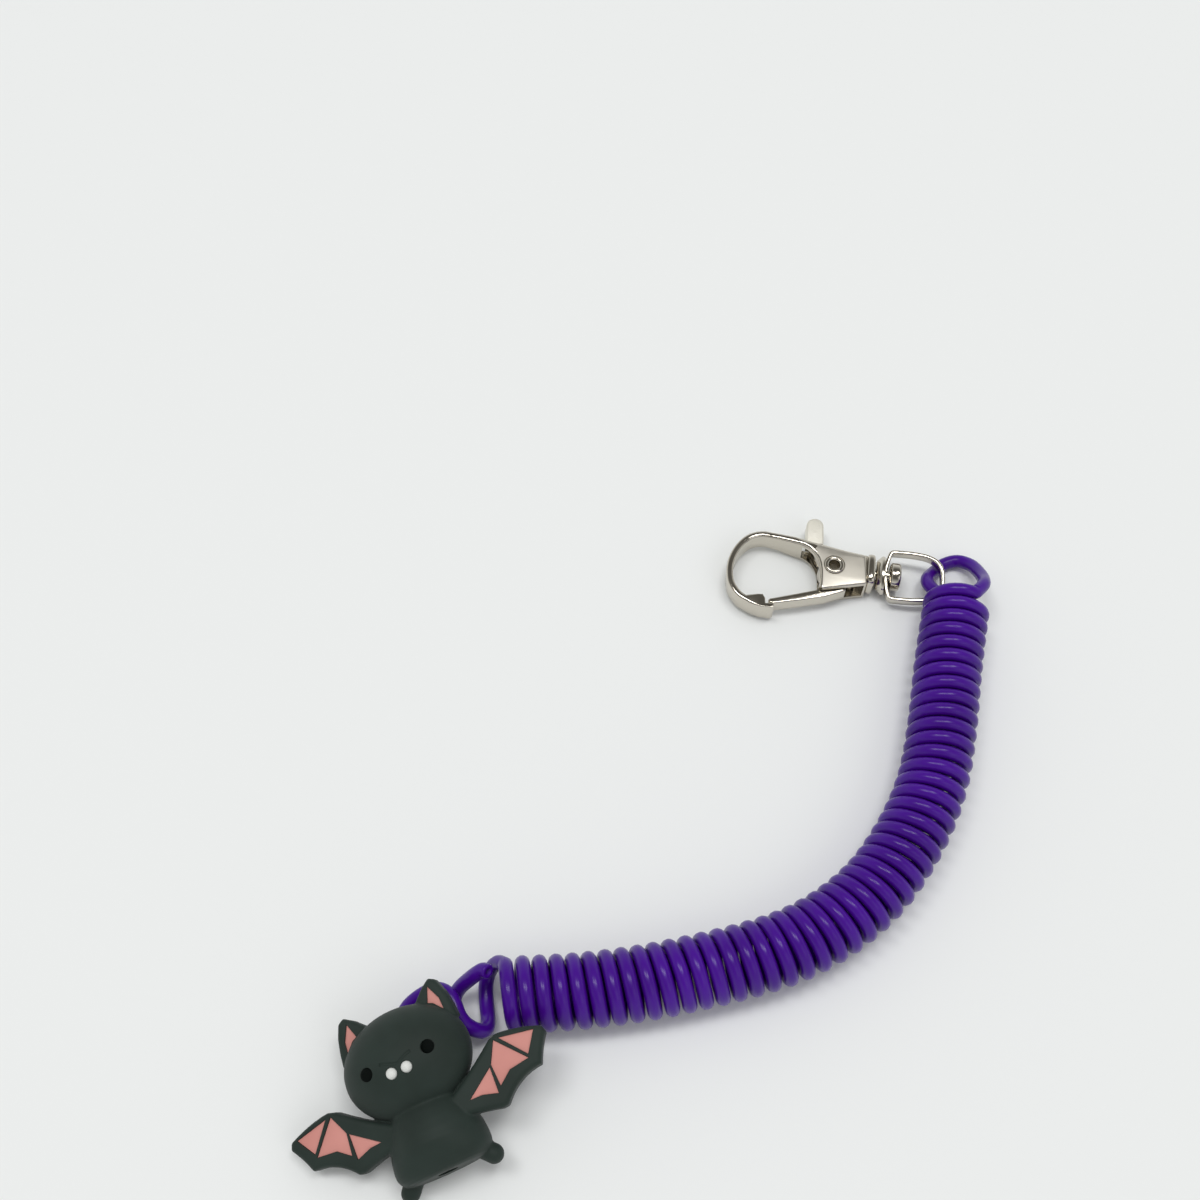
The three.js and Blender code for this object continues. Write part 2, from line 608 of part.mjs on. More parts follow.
function wingOutline() {
  return [
    ...bowBetween(WING_ROOT_LOW, WING_HEEL, WING_ROOT_SAG, 4),
    WING_HEEL,
    ...bowBetween(WING_HEEL_CORNER, WING_FINGER, WING_WEB_SAG, 6),
    ...bowBetween(WING_FINGER, WING_TIP, WING_END_SAG, 3),
    WING_TIP,
    ...bowBetween(WING_TIP_CORNER, WING_KNUCKLE, WING_TOP_SAG, 5),
    WING_KNUCKLE,
    ...bowBetween(WING_KNUCKLE_CORNER, WING_ROOT_HIGH, WING_ARM_SAG, 5),
    WING_ROOT_HIGH,
  ];
}

// A prism in the plane of a wing's front, which sweeps back towards the wing's tip
function wingPrism(outline, hand, low, high, edge) {
  return prism(sideOf(outline, hand), low, high, edge)
    .rotateY(degrees(hand * WING_SWEEP))
    .translate(0, 0, WING_FRONT);
}

// A panel's outline grown on all sides, for the pocket that it lies in
function grown(points, distance) {
  const turning = THREE.ShapeUtils.isClockWise(points.map(([x, y]) => new THREE.Vector2(x, y))) ? 1 : -1;
  return points.map((point, i) => {
    const before = points[(i + points.length - 1) % points.length];
    const after = points[(i + 1) % points.length];
    const normal = (a, b) => {
      const length = Math.hypot(b[0] - a[0], b[1] - a[1]);
      return [(-turning * (b[1] - a[1])) / length, (turning * (b[0] - a[0])) / length];
    };
    const [n, m] = [normal(before, point), normal(point, after)];
    const spread = 1 + n[0] * m[0] + n[1] * m[1];
    const push = Math.min(distance / spread, distance * CORNER_REACH);
    return [point[0] + push * (n[0] + m[0]), point[1] + push * (n[1] + m[1])];
  });
}

function headSurface([x, y], side) {
  const [rx, ry, rz] = HEAD_RADII;
  const [cx, cy, cz] = HEAD_CENTRE;
  const rest = 1 - ((x - cx) / rx) ** 2 - ((y - cy) / ry) ** 2;
  return cz + side * rz * Math.sqrt(rest);
}

function bead([x, y], radius, sink) {
  const level = headSurface([x, y], 1) - sink;
  const profile = BEAD_PROFILE.map(([r, h]) => new THREE.Vector2(r * radius, h * radius));
  const lathe = new THREE.LatheGeometry(profile, 14).rotateX(Math.PI / 2).translate(x, y, level);
  return geometryOf(solidOf(lathe));
}

function beadPocket([x, y], radius, sink) {
  const level = headSurface([x, y], 1) - sink;
  return cylinderZ(radius + CLEARANCE, level - BEAD_DEPTH * radius - CLEARANCE, level + radius * 3, x, y, 16);
}

function batBody() {
  const head = solidOf(ellipsoid(HEAD_RADII, HEAD_CENTRE, 28, 18));
  const torso = solidOf(new THREE.LatheGeometry(torsoOutline(), 28)
    .scale(1, 1, TORSO_FLATTENING)
    .translate(0, 0, TORSO_DEPTH_CENTRE));
  const earTop = EAR_BACK + EAR_THICKNESS;
  const solids = [head, torso];
  const cuts = [];
  for (const hand of [1, -1]) {
    const [fx, fy, fz] = FOOT_CENTRE;
    solids.push(solidOf(ellipsoid([FOOT_RADIUS, FOOT_RADIUS, FOOT_RADIUS], [hand * fx, fy, fz], 12, 8)));
    solids.push(solidOf(prism(sideOf(EAR_OUTLINE, hand), EAR_BACK, earTop, SOFT_EDGE)));
    solids.push(solidOf(wingPrism(wingOutline(), hand, -WING_THICKNESS, 0, SOFT_EDGE)));
    cuts.push(solidOf(prism(
      sideOf(grown(EAR_PANEL, INLAY_GAP), hand), earTop - INLAY_DEPTH, earTop + INLAY_DEPTH)));
    for (const panel of Object.values(WING_PANELS)) {
      cuts.push(solidOf(wingPrism(grown(panel, INLAY_GAP), hand, -INLAY_DEPTH, INLAY_DEPTH, 0)));
    }
    cuts.push(solidOf(beadPocket([hand * EYE_PLACE[0], EYE_PLACE[1]], EYE_RADIUS, EYE_SINK)));
    cuts.push(solidOf(beadPocket([hand * FANG_PLACE[0], FANG_PLACE[1]], FANG_RADIUS, 0)));
  }
  const reach = 4 * TORSO_HEIGHT;
  const bore = new THREE.CylinderGeometry(NEEDLE_BORE_RADIUS, NEEDLE_BORE_RADIUS, 2 * reach, 20)
    .translate(0, 0, NEEDLE_BORE_HEIGHT);
  const back = new THREE.BoxGeometry(2 * reach, 2 * reach, reach).translate(0, 0, BACK_PLANE - reach / 2);
  const [tx, ty] = TETHER_PLACE;
  const skin = headSurface(TETHER_PLACE, -1);
  const seat = cylinderZ(TETHER_SEAT_RADIUS, BACK_PLANE - CLEARANCE, skin + TETHER_SEAT_DEPTH, tx, ty, 20);
  const shankHole = cylinderZ(
    TETHER_SHANK_RADIUS + CLEARANCE, skin, skin + TETHER_SHANK_DEPTH + CLEARANCE, tx, ty, 12);
  cuts.push(solidOf(bore), solidOf(back), solidOf(seat), solidOf(shankHole));
  return geometryOf(joined(solids).subtract(joined(cuts)));
}

function tetherEye() {
  const [x, y] = TETHER_PLACE;
  const skin = headSurface(TETHER_PLACE, -1);
  const ringRadius = TETHER_INNER_RADIUS + TETHER_WIRE / 2;
  const ring = new THREE.TorusGeometry(ringRadius, TETHER_WIRE / 2, 8, 20)
    .rotateY(Math.PI / 2)
    .translate(x, y, skin - TETHER_DROP);
  const shank = cylinderZ(
    TETHER_SHANK_RADIUS, skin - TETHER_DROP + ringRadius, skin + TETHER_SHANK_DEPTH, x, y, 10);
  return geometryOf(solidOf(ring).add(solidOf(shank)));
}

function buildBat(parent) {
  const bat = new THREE.Group();
  bat.position.set(...BAT_ORIGIN);
  bat.rotation.set(degrees(BAT_TILT), degrees(BAT_ROLL), degrees(BAT_YAW), "ZXY");
  addPiece(bat, "bat_body", batBody(), charcoalSilicone);
  addPiece(bat, "tether_eye", tetherEye(), nickel);
  const earBottom = EAR_BACK + EAR_THICKNESS - INLAY_DEPTH + CLEARANCE;
  const panelBottom = CLEARANCE - INLAY_DEPTH;
  for (const [handName, hand] of [["right", 1], ["left", -1]]) {
    addPiece(bat, `ear_inlay_${handName}`,
      prism(sideOf(EAR_PANEL, hand), earBottom, earBottom + INLAY_THICKNESS), pinkSilicone);
    for (const [panelName, panel] of Object.entries(WING_PANELS)) {
      addPiece(bat, `wing_panel_${panelName}_${handName}`,
        wingPrism(panel, hand, panelBottom, panelBottom + INLAY_THICKNESS, 0), pinkSilicone);
    }
    addPiece(bat, `eye_${handName}`,
      bead([hand * EYE_PLACE[0], EYE_PLACE[1]], EYE_RADIUS, EYE_SINK), blackSilicone);
    addPiece(bat, `fang_${handName}`,
      bead([hand * FANG_PLACE[0], FANG_PLACE[1]], FANG_RADIUS, 0), whiteSilicone);
  }
  parent.add(bat);
  return bat;
}

const holder = new THREE.Group();
const clasp = buildClasp(holder);
const bat = buildBat(holder);
buildCord(holder);

holder.updateMatrixWorld(true);
const box = new THREE.Box3().expandByObject(clasp, true).expandByObject(bat, true);
const centre = box.getCenter(new THREE.Vector3());
holder.position.set(-centre.x, -centre.y, -box.min.z);

export default holder;
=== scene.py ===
import math

import bmesh
import bpy
from mathutils import Matrix, Vector


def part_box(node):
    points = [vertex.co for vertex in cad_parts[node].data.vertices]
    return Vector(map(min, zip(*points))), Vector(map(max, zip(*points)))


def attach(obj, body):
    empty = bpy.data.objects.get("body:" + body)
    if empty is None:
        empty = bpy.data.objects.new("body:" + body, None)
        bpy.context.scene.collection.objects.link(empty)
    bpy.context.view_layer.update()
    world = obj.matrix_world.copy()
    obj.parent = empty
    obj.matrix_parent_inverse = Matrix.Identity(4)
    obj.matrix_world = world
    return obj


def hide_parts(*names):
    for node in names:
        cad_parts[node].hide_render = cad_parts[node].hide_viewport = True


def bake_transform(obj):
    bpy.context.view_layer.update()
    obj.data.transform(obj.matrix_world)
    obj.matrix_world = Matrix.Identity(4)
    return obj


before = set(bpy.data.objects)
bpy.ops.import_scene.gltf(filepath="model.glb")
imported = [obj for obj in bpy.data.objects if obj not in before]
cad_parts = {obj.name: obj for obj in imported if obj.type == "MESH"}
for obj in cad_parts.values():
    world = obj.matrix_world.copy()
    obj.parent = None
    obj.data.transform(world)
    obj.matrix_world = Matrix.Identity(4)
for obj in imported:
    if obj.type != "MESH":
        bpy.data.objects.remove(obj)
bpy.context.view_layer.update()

# Everything below is drawn in millimetres and placed in metres
MM = 0.001

# The bench frame: its origin is under the pivot rivet, its height is the table's
rivet_low, rivet_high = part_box("pivot_rivet")
BENCH = Vector(((rivet_low.x + rivet_high.x) / 2, (rivet_low.y + rivet_high.y) / 2, 0))
TO_BENCH = Matrix.Translation(BENCH) @ Matrix.Scale(MM, 4)

# The clasp's frame and the bat's frame, on the bench
CLASP_YAW = -8
BAT_ORIGIN = (-64.8, -103.13, -0.04)
BAT_YAW, BAT_TILT, BAT_ROLL = 23.4, 4.7, -13
TO_CLASP = TO_BENCH @ Matrix.Rotation(math.radians(CLASP_YAW), 4, "Z")
TO_BAT = (
    TO_BENCH
    @ Matrix.Translation(BAT_ORIGIN)
    @ Matrix.Rotation(math.radians(BAT_YAW), 4, "Z")
    @ Matrix.Rotation(math.radians(BAT_TILT), 4, "X")
    @ Matrix.Rotation(math.radians(BAT_ROLL), 4, "Y")
)


# Camera, as the photograph was taken: about 60 degrees down on the table
CAMERA_PLACE = (-43.2, -137.2, 235)
CAMERA_ELEVATION = 60.5
CAMERA_LENS, CAMERA_SENSOR = 43.5, 36

camera_data = bpy.data.cameras.new("camera")
camera_data.lens = CAMERA_LENS
camera_data.sensor_width = CAMERA_SENSOR
camera_data.clip_start = 0.01
camera = bpy.data.objects.new("camera", camera_data)
camera.location = TO_BENCH @ Vector(CAMERA_PLACE)
camera.rotation_euler = (math.radians(90 - CAMERA_ELEVATION), 0, 0)
bpy.context.scene.collection.objects.link(camera)
bpy.context.scene.camera = camera


# Curves and tubes
FINE_STEPS = 24
LIP_SHARE, LIP_ROUNDING = 0.18, 0.3


def catmull_rom(points, steps, alpha=0.5):
    """A smooth curve through 3D points, which doesn't overshoot them, as points at equal steps."""
    pts = [Vector(p) for p in points]
    pts = [pts[0] * 2 - pts[1], *pts, pts[-1] * 2 - pts[-2]]
    fine = []
    for i in range(1, len(pts) - 2):
        p0, p1, p2, p3 = pts[i - 1 : i + 3]
        t0 = 0
        t1 = t0 + (p1 - p0).length ** alpha
        t2 = t1 + (p2 - p1).length ** alpha
        t3 = t2 + (p3 - p2).length ** alpha
        for k in range(FINE_STEPS):
            t = t1 + (t2 - t1) * k / FINE_STEPS
            a1 = p0 * ((t1 - t) / (t1 - t0)) + p1 * ((t - t0) / (t1 - t0))
            a2 = p1 * ((t2 - t) / (t2 - t1)) + p2 * ((t - t1) / (t2 - t1))
            a3 = p2 * ((t3 - t) / (t3 - t2)) + p3 * ((t - t2) / (t3 - t2))
            b1 = a1 * ((t2 - t) / (t2 - t0)) + a2 * ((t - t0) / (t2 - t0))
            b2 = a2 * ((t3 - t) / (t3 - t1)) + a3 * ((t - t1) / (t3 - t1))
            fine.append(b1 * ((t2 - t) / (t2 - t1)) + b2 * ((t - t1) / (t2 - t1)))
    fine.append(pts[-2].copy())
    return resampled(fine, steps)


def resampled(points, steps):
    """A line through the points, as points at equal steps along it."""
    along = [0.0]
    for a, b in zip(points, points[1:]):
        along.append(along[-1] + (b - a).length)
    out = []
    j = 0
    for i in range(steps + 1):
        goal = along[-1] * i / steps
        while j < len(points) - 2 and along[j + 1] < goal:
            j += 1
        share = (goal - along[j]) / max(along[j + 1] - along[j], 1e-9)
        out.append(points[j].lerp(points[j + 1], min(max(share, 0), 1)))
    return out


def length_of(points):
    return sum((b - a).length for a, b in zip(points, points[1:]))


def tube_mesh(name, points, radius, sides, bore=0.0, bore_depth=0.0):
    """A round tube along points, with hollow ends where bore is given.

    Returns the mesh and each vertex's place along points.
    """
    count = len(points)
    tangents = [
        (points[min(i + 1, count - 1)] - points[max(i - 1, 0)]).normalized() for i in range(count)
    ]
    normal = Vector((0, 0, 1)).cross(tangents[0]).normalized()
    frames = []
    for tangent in tangents:
        normal = (normal - tangent * normal.dot(tangent)).normalized()
        frames.append((normal.copy(), tangent.cross(normal)))

    # Each ring is its place along points, its shift from there and its radius
    last = count - 1
    lip = LIP_SHARE * radius
    if bore:
        tip = [(bore_depth, 0.0), (bore_depth, bore), (0.0, bore), (0.0, radius - lip),
               (LIP_ROUNDING * lip, radius - LIP_ROUNDING * lip), (lip, radius)]
    else:
        tip = [(0.0, 0.0), (0.0, radius)]
    rings = [(0, shift, r) for shift, r in tip]
    rings += [(i, 0.0, radius) for i in range(1, last)]
    rings += [(last, -shift, r) for shift, r in reversed(tip)]
    verts, places, faces, starts = [], [], [], []
    for i, shift, r in rings:
        centre = points[i] + tangents[i] * shift
        starts.append(len(verts))
        if r == 0.0:
            verts.append(centre)
            places.append(i)
            continue
        n, b = frames[i]
        for s in range(sides):
            angle = 2 * math.pi * s / sides
            verts.append(centre + n * (r * math.cos(angle)) + b * (r * math.sin(angle)))
            places.append(i)
    for k in range(len(rings) - 1):
        a, b = starts[k], starts[k + 1]
        for s in range(sides):
            t = (s + 1) % sides
            if rings[k][2] == 0.0:
                faces.append((a, b + t, b + s))
            elif rings[k + 1][2] == 0.0:
                faces.append((a + s, a + t, b))
            else:
                faces.append((a + s, a + t, b + t, b + s))
    mesh = bpy.data.meshes.new(name)
    mesh.from_pydata([tuple(v) for v in verts], [], faces)
    mesh.validate()
    return mesh, places


# The cord's route on the bench, as the solids have it
COIL_ROUTE = [
    (21.5, -8.0), (18.3, -21.4), (15.9, -33.0), (13.0, -43.4), (8.0, -53.3),
    (0.4, -62.8), (-11.2, -70.5), (-31.2, -76.1), (-45.0, -78.2), (-57.85, -79.0),
]
CLASP_LOOP = [
    (20.9, -14.0, 6.1), (20.6, -11.2, 6.1), (20.0, -8.9, 6.1), (18.9, -7.0, 5.85),
    (17.85, -5.2, 5.25), (17.2, -3.4, 4.3), (17.3, -1.8, 3.4), (18.1, -0.4, 2.3),
    (19.4, 1.1, 1.3), (21.4, 2.8, 1.15), (23.9, 3.3, 1.5), (25.9, 1.9, 2.5),
    (26.8, -0.7, 4.2), (26.8, -3.5, 6.4), (25.9, -6.1, 8.8),
]
BAT_LOOP = [
    (-59.5, -73.9, 6.0), (-60.9, -74.5, 3.2), (-61.5, -76.0, 1.7), (-61.5, -77.7, 1.25),
    (-61.3, -79.6, 1.2), (-61.0, -81.6, 1.6), (-61.0, -83.2, 2.7), (-61.6, -84.1, 4.0),
    (-62.8, -84.1, 5.1), (-64.2, -83.4, 5.9), (-65.2, -82.2, 6.4), (-65.8, -80.8, 6.7),
    (-66.6, -79.4, 6.85), (-67.9, -78.5, 6.8), (-69.5, -78.3, 6.5), (-70.9, -78.8, 6.0),
    (-72.3, -79.6, 5.4), (-73.6, -80.7, 4.5), (-74.2, -82.0, 3.5), (-73.4, -83.2, 2.6),
    (-71.7, -83.6, 2.25), (-69.8, -83.1, 2.25), (-68.3, -82.2, 2.3), (-67.2, -80.9, 2.6),
    (-66.6, -79.5, 3.2), (-66.0, -78.2, 4.1), (-65.2, -77.5, 5.3), (-63.8, -76.9, 7.3),
    (-62.4, -76.4, 9.1), (-61.4, -76.15, 10.0), (-60.55, -76.6, 10.6),
]
COIL_DIAMETER = 12
CORD_DIAMETER = 2.4
CORD_BORE, CORD_BORE_DEPTH = 0.9, 2.5
COIL_TURNS = 45.25
COIL_START_ANGLE = 60
TURN_STEPS = 32
LOOP_STEP = 0.45
CORD_SIDES = 14

coil_radius = (COIL_DIAMETER - CORD_DIAMETER) / 2
coil_steps = round(COIL_TURNS * TURN_STEPS)
centre_line = catmull_rom([(x, y, COIL_DIAMETER / 2) for x, y in COIL_ROUTE], coil_steps)


def coil_points():
    """The coil's turns round its middle line, the same number of points to each."""
    out = []
    for i, centre in enumerate(centre_line):
        ahead = centre_line[min(i + 1, coil_steps)] - centre_line[max(i - 1, 0)]
        side = Vector((-ahead.y, ahead.x, 0)).normalized()
        angle = math.radians(COIL_START_ANGLE) + 2 * math.pi * i / TURN_STEPS
        out.append(centre + side * (coil_radius * math.cos(angle))
                   + Vector((0, 0, coil_radius * math.sin(angle))))
    return out


def loop_points(points):
    return catmull_rom(points, round(length_of([Vector(p) for p in points]) / LOOP_STEP))


def make_cord(material):
    coil = coil_points()
    start = loop_points([*CLASP_LOOP, coil[0]])[:-1]
    end = loop_points([coil[-1], *BAT_LOOP])[1:]
    points = [*start, *coil, *end]
    mesh, places = tube_mesh(
        "coiled_cord", points, CORD_DIAMETER / 2, CORD_SIDES, CORD_BORE / 2, CORD_BORE_DEPTH)
    mesh.transform(TO_BENCH)
    cord = new_piece("coiled_cord", mesh, "purple_cord", material)
    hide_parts("coil_cord")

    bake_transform(cord)


# Materials
def linear(colour):
    """A colour from its sRGB values of 0 to 255."""
    def channel(value):
        v = value / 255
        return v / 12.92 if v <= 0.04045 else ((v + 0.055) / 1.055) ** 2.4
    return (*(channel(v) for v in colour), 1)


def new_material(name, colour, roughness, metallic=0.0):
    material = bpy.data.materials.new(name)
    material.use_nodes = True
    shader = material.node_tree.nodes["Principled BSDF"]
    shader.inputs["Base Color"].default_value = linear(colour)
    shader.inputs["Roughness"].default_value = roughness
    shader.inputs["Metallic"].default_value = metallic
    return material, shader


def add_noise(material, scale, detail):
    nodes, links = material.node_tree.nodes, material.node_tree.links
    place = nodes.new("ShaderNodeTexCoord")
    noise = nodes.new("ShaderNodeTexNoise")
    noise.inputs["Scale"].default_value = scale
    noise.inputs["Detail"].default_value = detail
    links.new(place.outputs["Object"], noise.inputs["Vector"])
    return noise.outputs["Fac"]


def add_bump(material, shader, scale, strength, distance, detail=3.0):
    """A fine grain in the surface, too small to model."""
    nodes, links = material.node_tree.nodes, material.node_tree.links
    bump = nodes.new("ShaderNodeBump")
    bump.inputs["Strength"].default_value = strength
    bump.inputs["Distance"].default_value = distance
    links.new(add_noise(material, scale, detail), bump.inputs["Height"])
    links.new(bump.outputs["Normal"], shader.inputs["Normal"])


def add_variation(material, shader, light, dark, scale, socket="Base Color"):
    """Colour, or roughness where light and dark are numbers, that drifts slowly over the surface."""
    nodes, links = material.node_tree.nodes, material.node_tree.links
    ramp = nodes.new("ShaderNodeValToRGB")
    for element, position, value in zip(ramp.color_ramp.elements, (0.35, 0.65), (dark, light)):
        element.position = position
        element.color = (value, value, value, 1) if isinstance(value, float) else linear(value)
    links.new(add_noise(material, scale, 2.0), ramp.inputs["Fac"])
    links.new(ramp.outputs["Color"], shader.inputs[socket])


def cord_plastic():
    light, dark = (70, 12, 143), (62, 9, 128)
    material, shader = new_material("cord_plastic", light, 0.28)
    add_variation(material, shader, light, dark, scale=90)
    add_bump(material, shader, scale=900, strength=0.12, distance=0.00004)
    shader.inputs["Specular IOR Level"].default_value = 0.22
    shader.inputs["Coat Weight"].default_value = 0.06
    shader.inputs["Coat Roughness"].default_value = 0.1
    return material


def nickel_plate(name="nickel_plate", bump_scale=700, bump_strength=0.06, roughness=(0.17, 0.11),
                 colour=(206, 200, 188)):
    """Nickel whose roughness drifts between the two values given."""
    material, shader = new_material(name, colour, roughness[0], metallic=1.0)
    add_variation(material, shader, *roughness, scale=260, socket="Roughness")
    add_bump(material, shader, bump_scale, bump_strength, distance=0.00005)
    return material


def silicone(name, light, dark, roughness=0.62, specular=0.25):
    material, shader = new_material(name, light, roughness)
    add_variation(material, shader, light, dark, scale=140)
    add_bump(material, shader, scale=2600, strength=0.18, distance=0.00004, detail=5.0)
    shader.inputs["Sheen Weight"].default_value = 0.04
    shader.inputs["Sheen Roughness"].default_value = 0.5
    shader.inputs["Specular IOR Level"].default_value = specular
    return material


# Pieces
def new_object(name, mesh):
    thing = bpy.data.objects.new(name, mesh)
    bpy.context.scene.collection.objects.link(thing)
    return thing


def new_piece(name, mesh, slot, *materials):
    for polygon in mesh.polygons:
        polygon.use_smooth = True
    for material in materials:
        mesh.materials.append(material)
    return new_object(name, mesh)


def applied(thing):
    """The object's mesh with its modifiers applied, and the object itself removed."""
    graph = bpy.context.evaluated_depsgraph_get()
    mesh = bpy.data.meshes.new_from_object(thing.evaluated_get(graph))
    bpy.data.objects.remove(thing)
    return mesh


def combined(mesh, others, operation):
    """mesh joined with, or cut by, the other meshes in turn."""
    thing = new_object("work", mesh)
    helpers = []
    for other in others:
        helper = new_object("helper", other)
        modifier = thing.modifiers.new("combine", "BOOLEAN")
        modifier.operation = operation
        modifier.solver = "EXACT"
        modifier.object = helper
        helpers.append(helper)
    result = applied(thing)
    for helper in helpers:
        bpy.data.objects.remove(helper)
    return result


def cut(mesh, *others):
    return combined(mesh, others, "DIFFERENCE")


def joined(mesh, *others):
    return combined(mesh, others, "UNION")


def mesh_of(name, verts, faces):
    """A mesh with its faces turned outwards."""
    mesh = bpy.data.meshes.new(name)
    mesh.from_pydata([tuple(v) for v in verts], [], faces)
    work = bmesh.new()
    work.from_mesh(mesh)
    bmesh.ops.recalc_face_normals(work, faces=work.faces)
    work.to_mesh(mesh)
    work.free()
    return mesh


def faces_between(rings, sides, closed=False):
    """The faces between rings of points, and from the last ring to the first where closed."""
    faces = []
    for k in range(rings if closed else rings - 1):
        m = (k + 1) % rings
        for s in range(sides):
            t = (s + 1) % sides
            faces.append((k * sides + s, k * sides + t, m * sides + t, m * sides + s))
    return faces


def flat_curve(points, steps):
    """A smooth line through 2D points, as 2D points."""
    return [(p.x, p.y) for p in catmull_rom([(x, y, 0) for x, y in points], steps)]


def area_of(outline):
    """Twice the area inside an outline, below zero where it runs clockwise."""
    return sum(a[0] * b[1] - b[0] * a[1] for a, b in zip(outline, outline[1:] + outline[:1]))


def inward(outline):
    """The direction into a counter-clockwise outline at each of its points, lengthened at corners."""
    count = len(outline)
    out = []
    for i, point in enumerate(outline):
        before = Vector(outline[i - 1])
        after = Vector(outline[(i + 1) % count])
        here = Vector(point)
        a = (here - before).normalized()
        b = (after - here).normalized()
        n, m = Vector((-a.y, a.x)), Vector((-b.y, b.x))
        out.append((n + m) / max(1 + n.dot(m), 0.5))
    return out


def slab(outline, low, high, edge=0.0, steps=4):
    """A plate with rounded rims. edge is one radius, or one for each point of the outline."""
    radii = [edge] * len(outline) if isinstance(edge, (int, float)) else edge
    if area_of(outline) < 0:
        outline, radii = outline[::-1], radii[::-1]
    push = inward(outline)
    levels = []
    for k in range(steps + 1 if max(radii) > 0 else 1):
        turn = math.pi / 2 * (k / steps) if max(radii) > 0 else math.pi / 2
        levels.append((1 - math.sin(turn), 1 - math.cos(turn)))
    count = len(outline)
    verts = []
    for side in (0, 1):
        for inset, rise in levels if side == 0 else levels[::-1]:
            for (x, y), (px, py), r in zip(outline, push, radii):
                z = low + r * rise if side == 0 else high - r * rise
                verts.append((x + px * r * inset, y + py * r * inset, z))
    rings = 2 * len(levels)
    caps = [tuple(range(count))[::-1], tuple(range((rings - 1) * count, rings * count))]
    return mesh_of("slab", verts, caps + faces_between(rings, count))


def turned(profile, sides, axis="Z"):
    """A body of revolution about axis.

    The profile's points are a radius and a height each. They start and end on the axis, or else
    the last one joins the first.
    """
    verts, starts = [], []
    for r, h in profile:
        starts.append(len(verts))
        ring = [(0, 0, h)] if r == 0 else [
            (r * math.cos(2 * math.pi * s / sides), r * math.sin(2 * math.pi * s / sides), h)
            for s in range(sides)
        ]
        verts.extend(ring)
    faces = []
    closed = profile[0][0] != 0
    pairs = list(zip(range(len(profile)), range(1, len(profile))))
    if closed:
        pairs.append((len(profile) - 1, 0))
    for a, b in pairs:
        for s in range(sides):
            t = (s + 1) % sides
            if profile[a][0] == 0 and profile[b][0] == 0:
                continue
            if profile[a][0] == 0:
                faces.append((starts[a], starts[b] + t, starts[b] + s))
            elif profile[b][0] == 0:
                faces.append((starts[a] + s, starts[a] + t, starts[b]))
            else:
                faces.append((starts[a] + s, starts[a] + t, starts[b] + t, starts[b] + s))
    mesh = mesh_of("turned", verts, faces)
    if axis == "X":
        mesh.transform(Matrix.Rotation(math.pi / 2, 4, "Y"))
    if axis == "Y":
        mesh.transform(Matrix.Rotation(-math.pi / 2, 4, "X"))
    return mesh


def rod(radius, low, high, sides=48, axis="Z", place=(0, 0, 0)):
    mesh = turned([(0, low), (radius, low), (radius, high), (0, high)], sides, axis)
    mesh.transform(Matrix.Translation(place))
    return mesh


def ball(radii, centre, detail=48, fullness=2.0):
    """An ellipsoid, or with a fullness over 2 a rounder-shouldered one."""
    work = bmesh.new()
    bmesh.ops.create_uvsphere(work, u_segments=detail, v_segments=detail // 2, radius=1)
    for vertex in work.verts:
        x, y, z = vertex.co
        size = (abs(x) ** fullness + abs(y) ** fullness + abs(z) ** fullness) ** (1 / fullness)
        scaled = Vector((x / size * radii[0], y / size * radii[1], z / size * radii[2]))
        vertex.co = scaled + Vector(centre)
    mesh = bpy.data.meshes.new("ball")
    work.to_mesh(mesh)
    work.free()
    return mesh


def place_piece(name, mesh, matrix, slot, body, *materials, stands_for, sharp=35):
    """A piece in its place, sharp where its faces meet at more than that many degrees."""
    mesh.transform(matrix)
    piece = new_piece(name, mesh, slot, *materials)
    mesh.set_sharp_from_angle(angle=math.radians(sharp))
    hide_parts(*stands_for)
    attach(piece, body)


# Clasp, in its own frame: x along it from the pivot rivet to the ring, y across, z up
BODY_THICKNESS = 5.7
MID_HEIGHT = BODY_THICKNESS / 2
HOOK_WALL = 1.25
HOOK_DEPTH = 4.2
CHEEK_WALL = 1.05
SLOT_FRONT, SLOT_BACK, SLOT_TOP_FRONT = 4.3, -6.0, 1.2
NECK_END = 6.1
NECK_BACK, NECK_GATE = 3.2, -3.0
SLOT_NOTCH = NECK_END - 0.35
SATIN_FROM = -3.5
BEAD_LENGTH = 1.5
BEAD_HALF_WIDTH = 3.3
# Places along the bead from the neck's end, each with its share of the bead's full size
BEAD_STATIONS = [
    (-0.25, 0.84), (0.02, 0.86), (0.12, 0.93), (0.3, 0.98), (0.6, 1), (0.95, 1), (1.25, 0.98),
    (1.42, 0.93), (BEAD_LENGTH, 0.84),
]
SWIVEL_OFFSET = 0.6
CROWN, CROWN_MIDDLE = 0.008, 1.5
CLEARANCE = 0.3
CUT_PAST = 16
RIVET_BARREL_RADIUS = 1.3
RIVET_BORE_RADIUS = 1.0
RIVET_FLANGE_RADIUS, RIVET_FLANGE_THICKNESS = 1.85, 0.38
RIVET_LIP_CENTRE, RIVET_LIP_HEIGHT = 0.18, 0.42
SHAFT_RADIUS = 1.1

# The rims' radii, and how many points it takes for one to pass into the next
RIM_BODY, RIM_HOOK, RIM_GATE_MORE, RIM_TIP, RIM_NECK = 1.0, 0.55, 0.15, 0.2, 0.3
RIM_CHANGE_HOOK, RIM_CHANGE_GATE = 5, 6
HOOK_STEPS = 64
HOOK_INSIDE = range(11, 62)

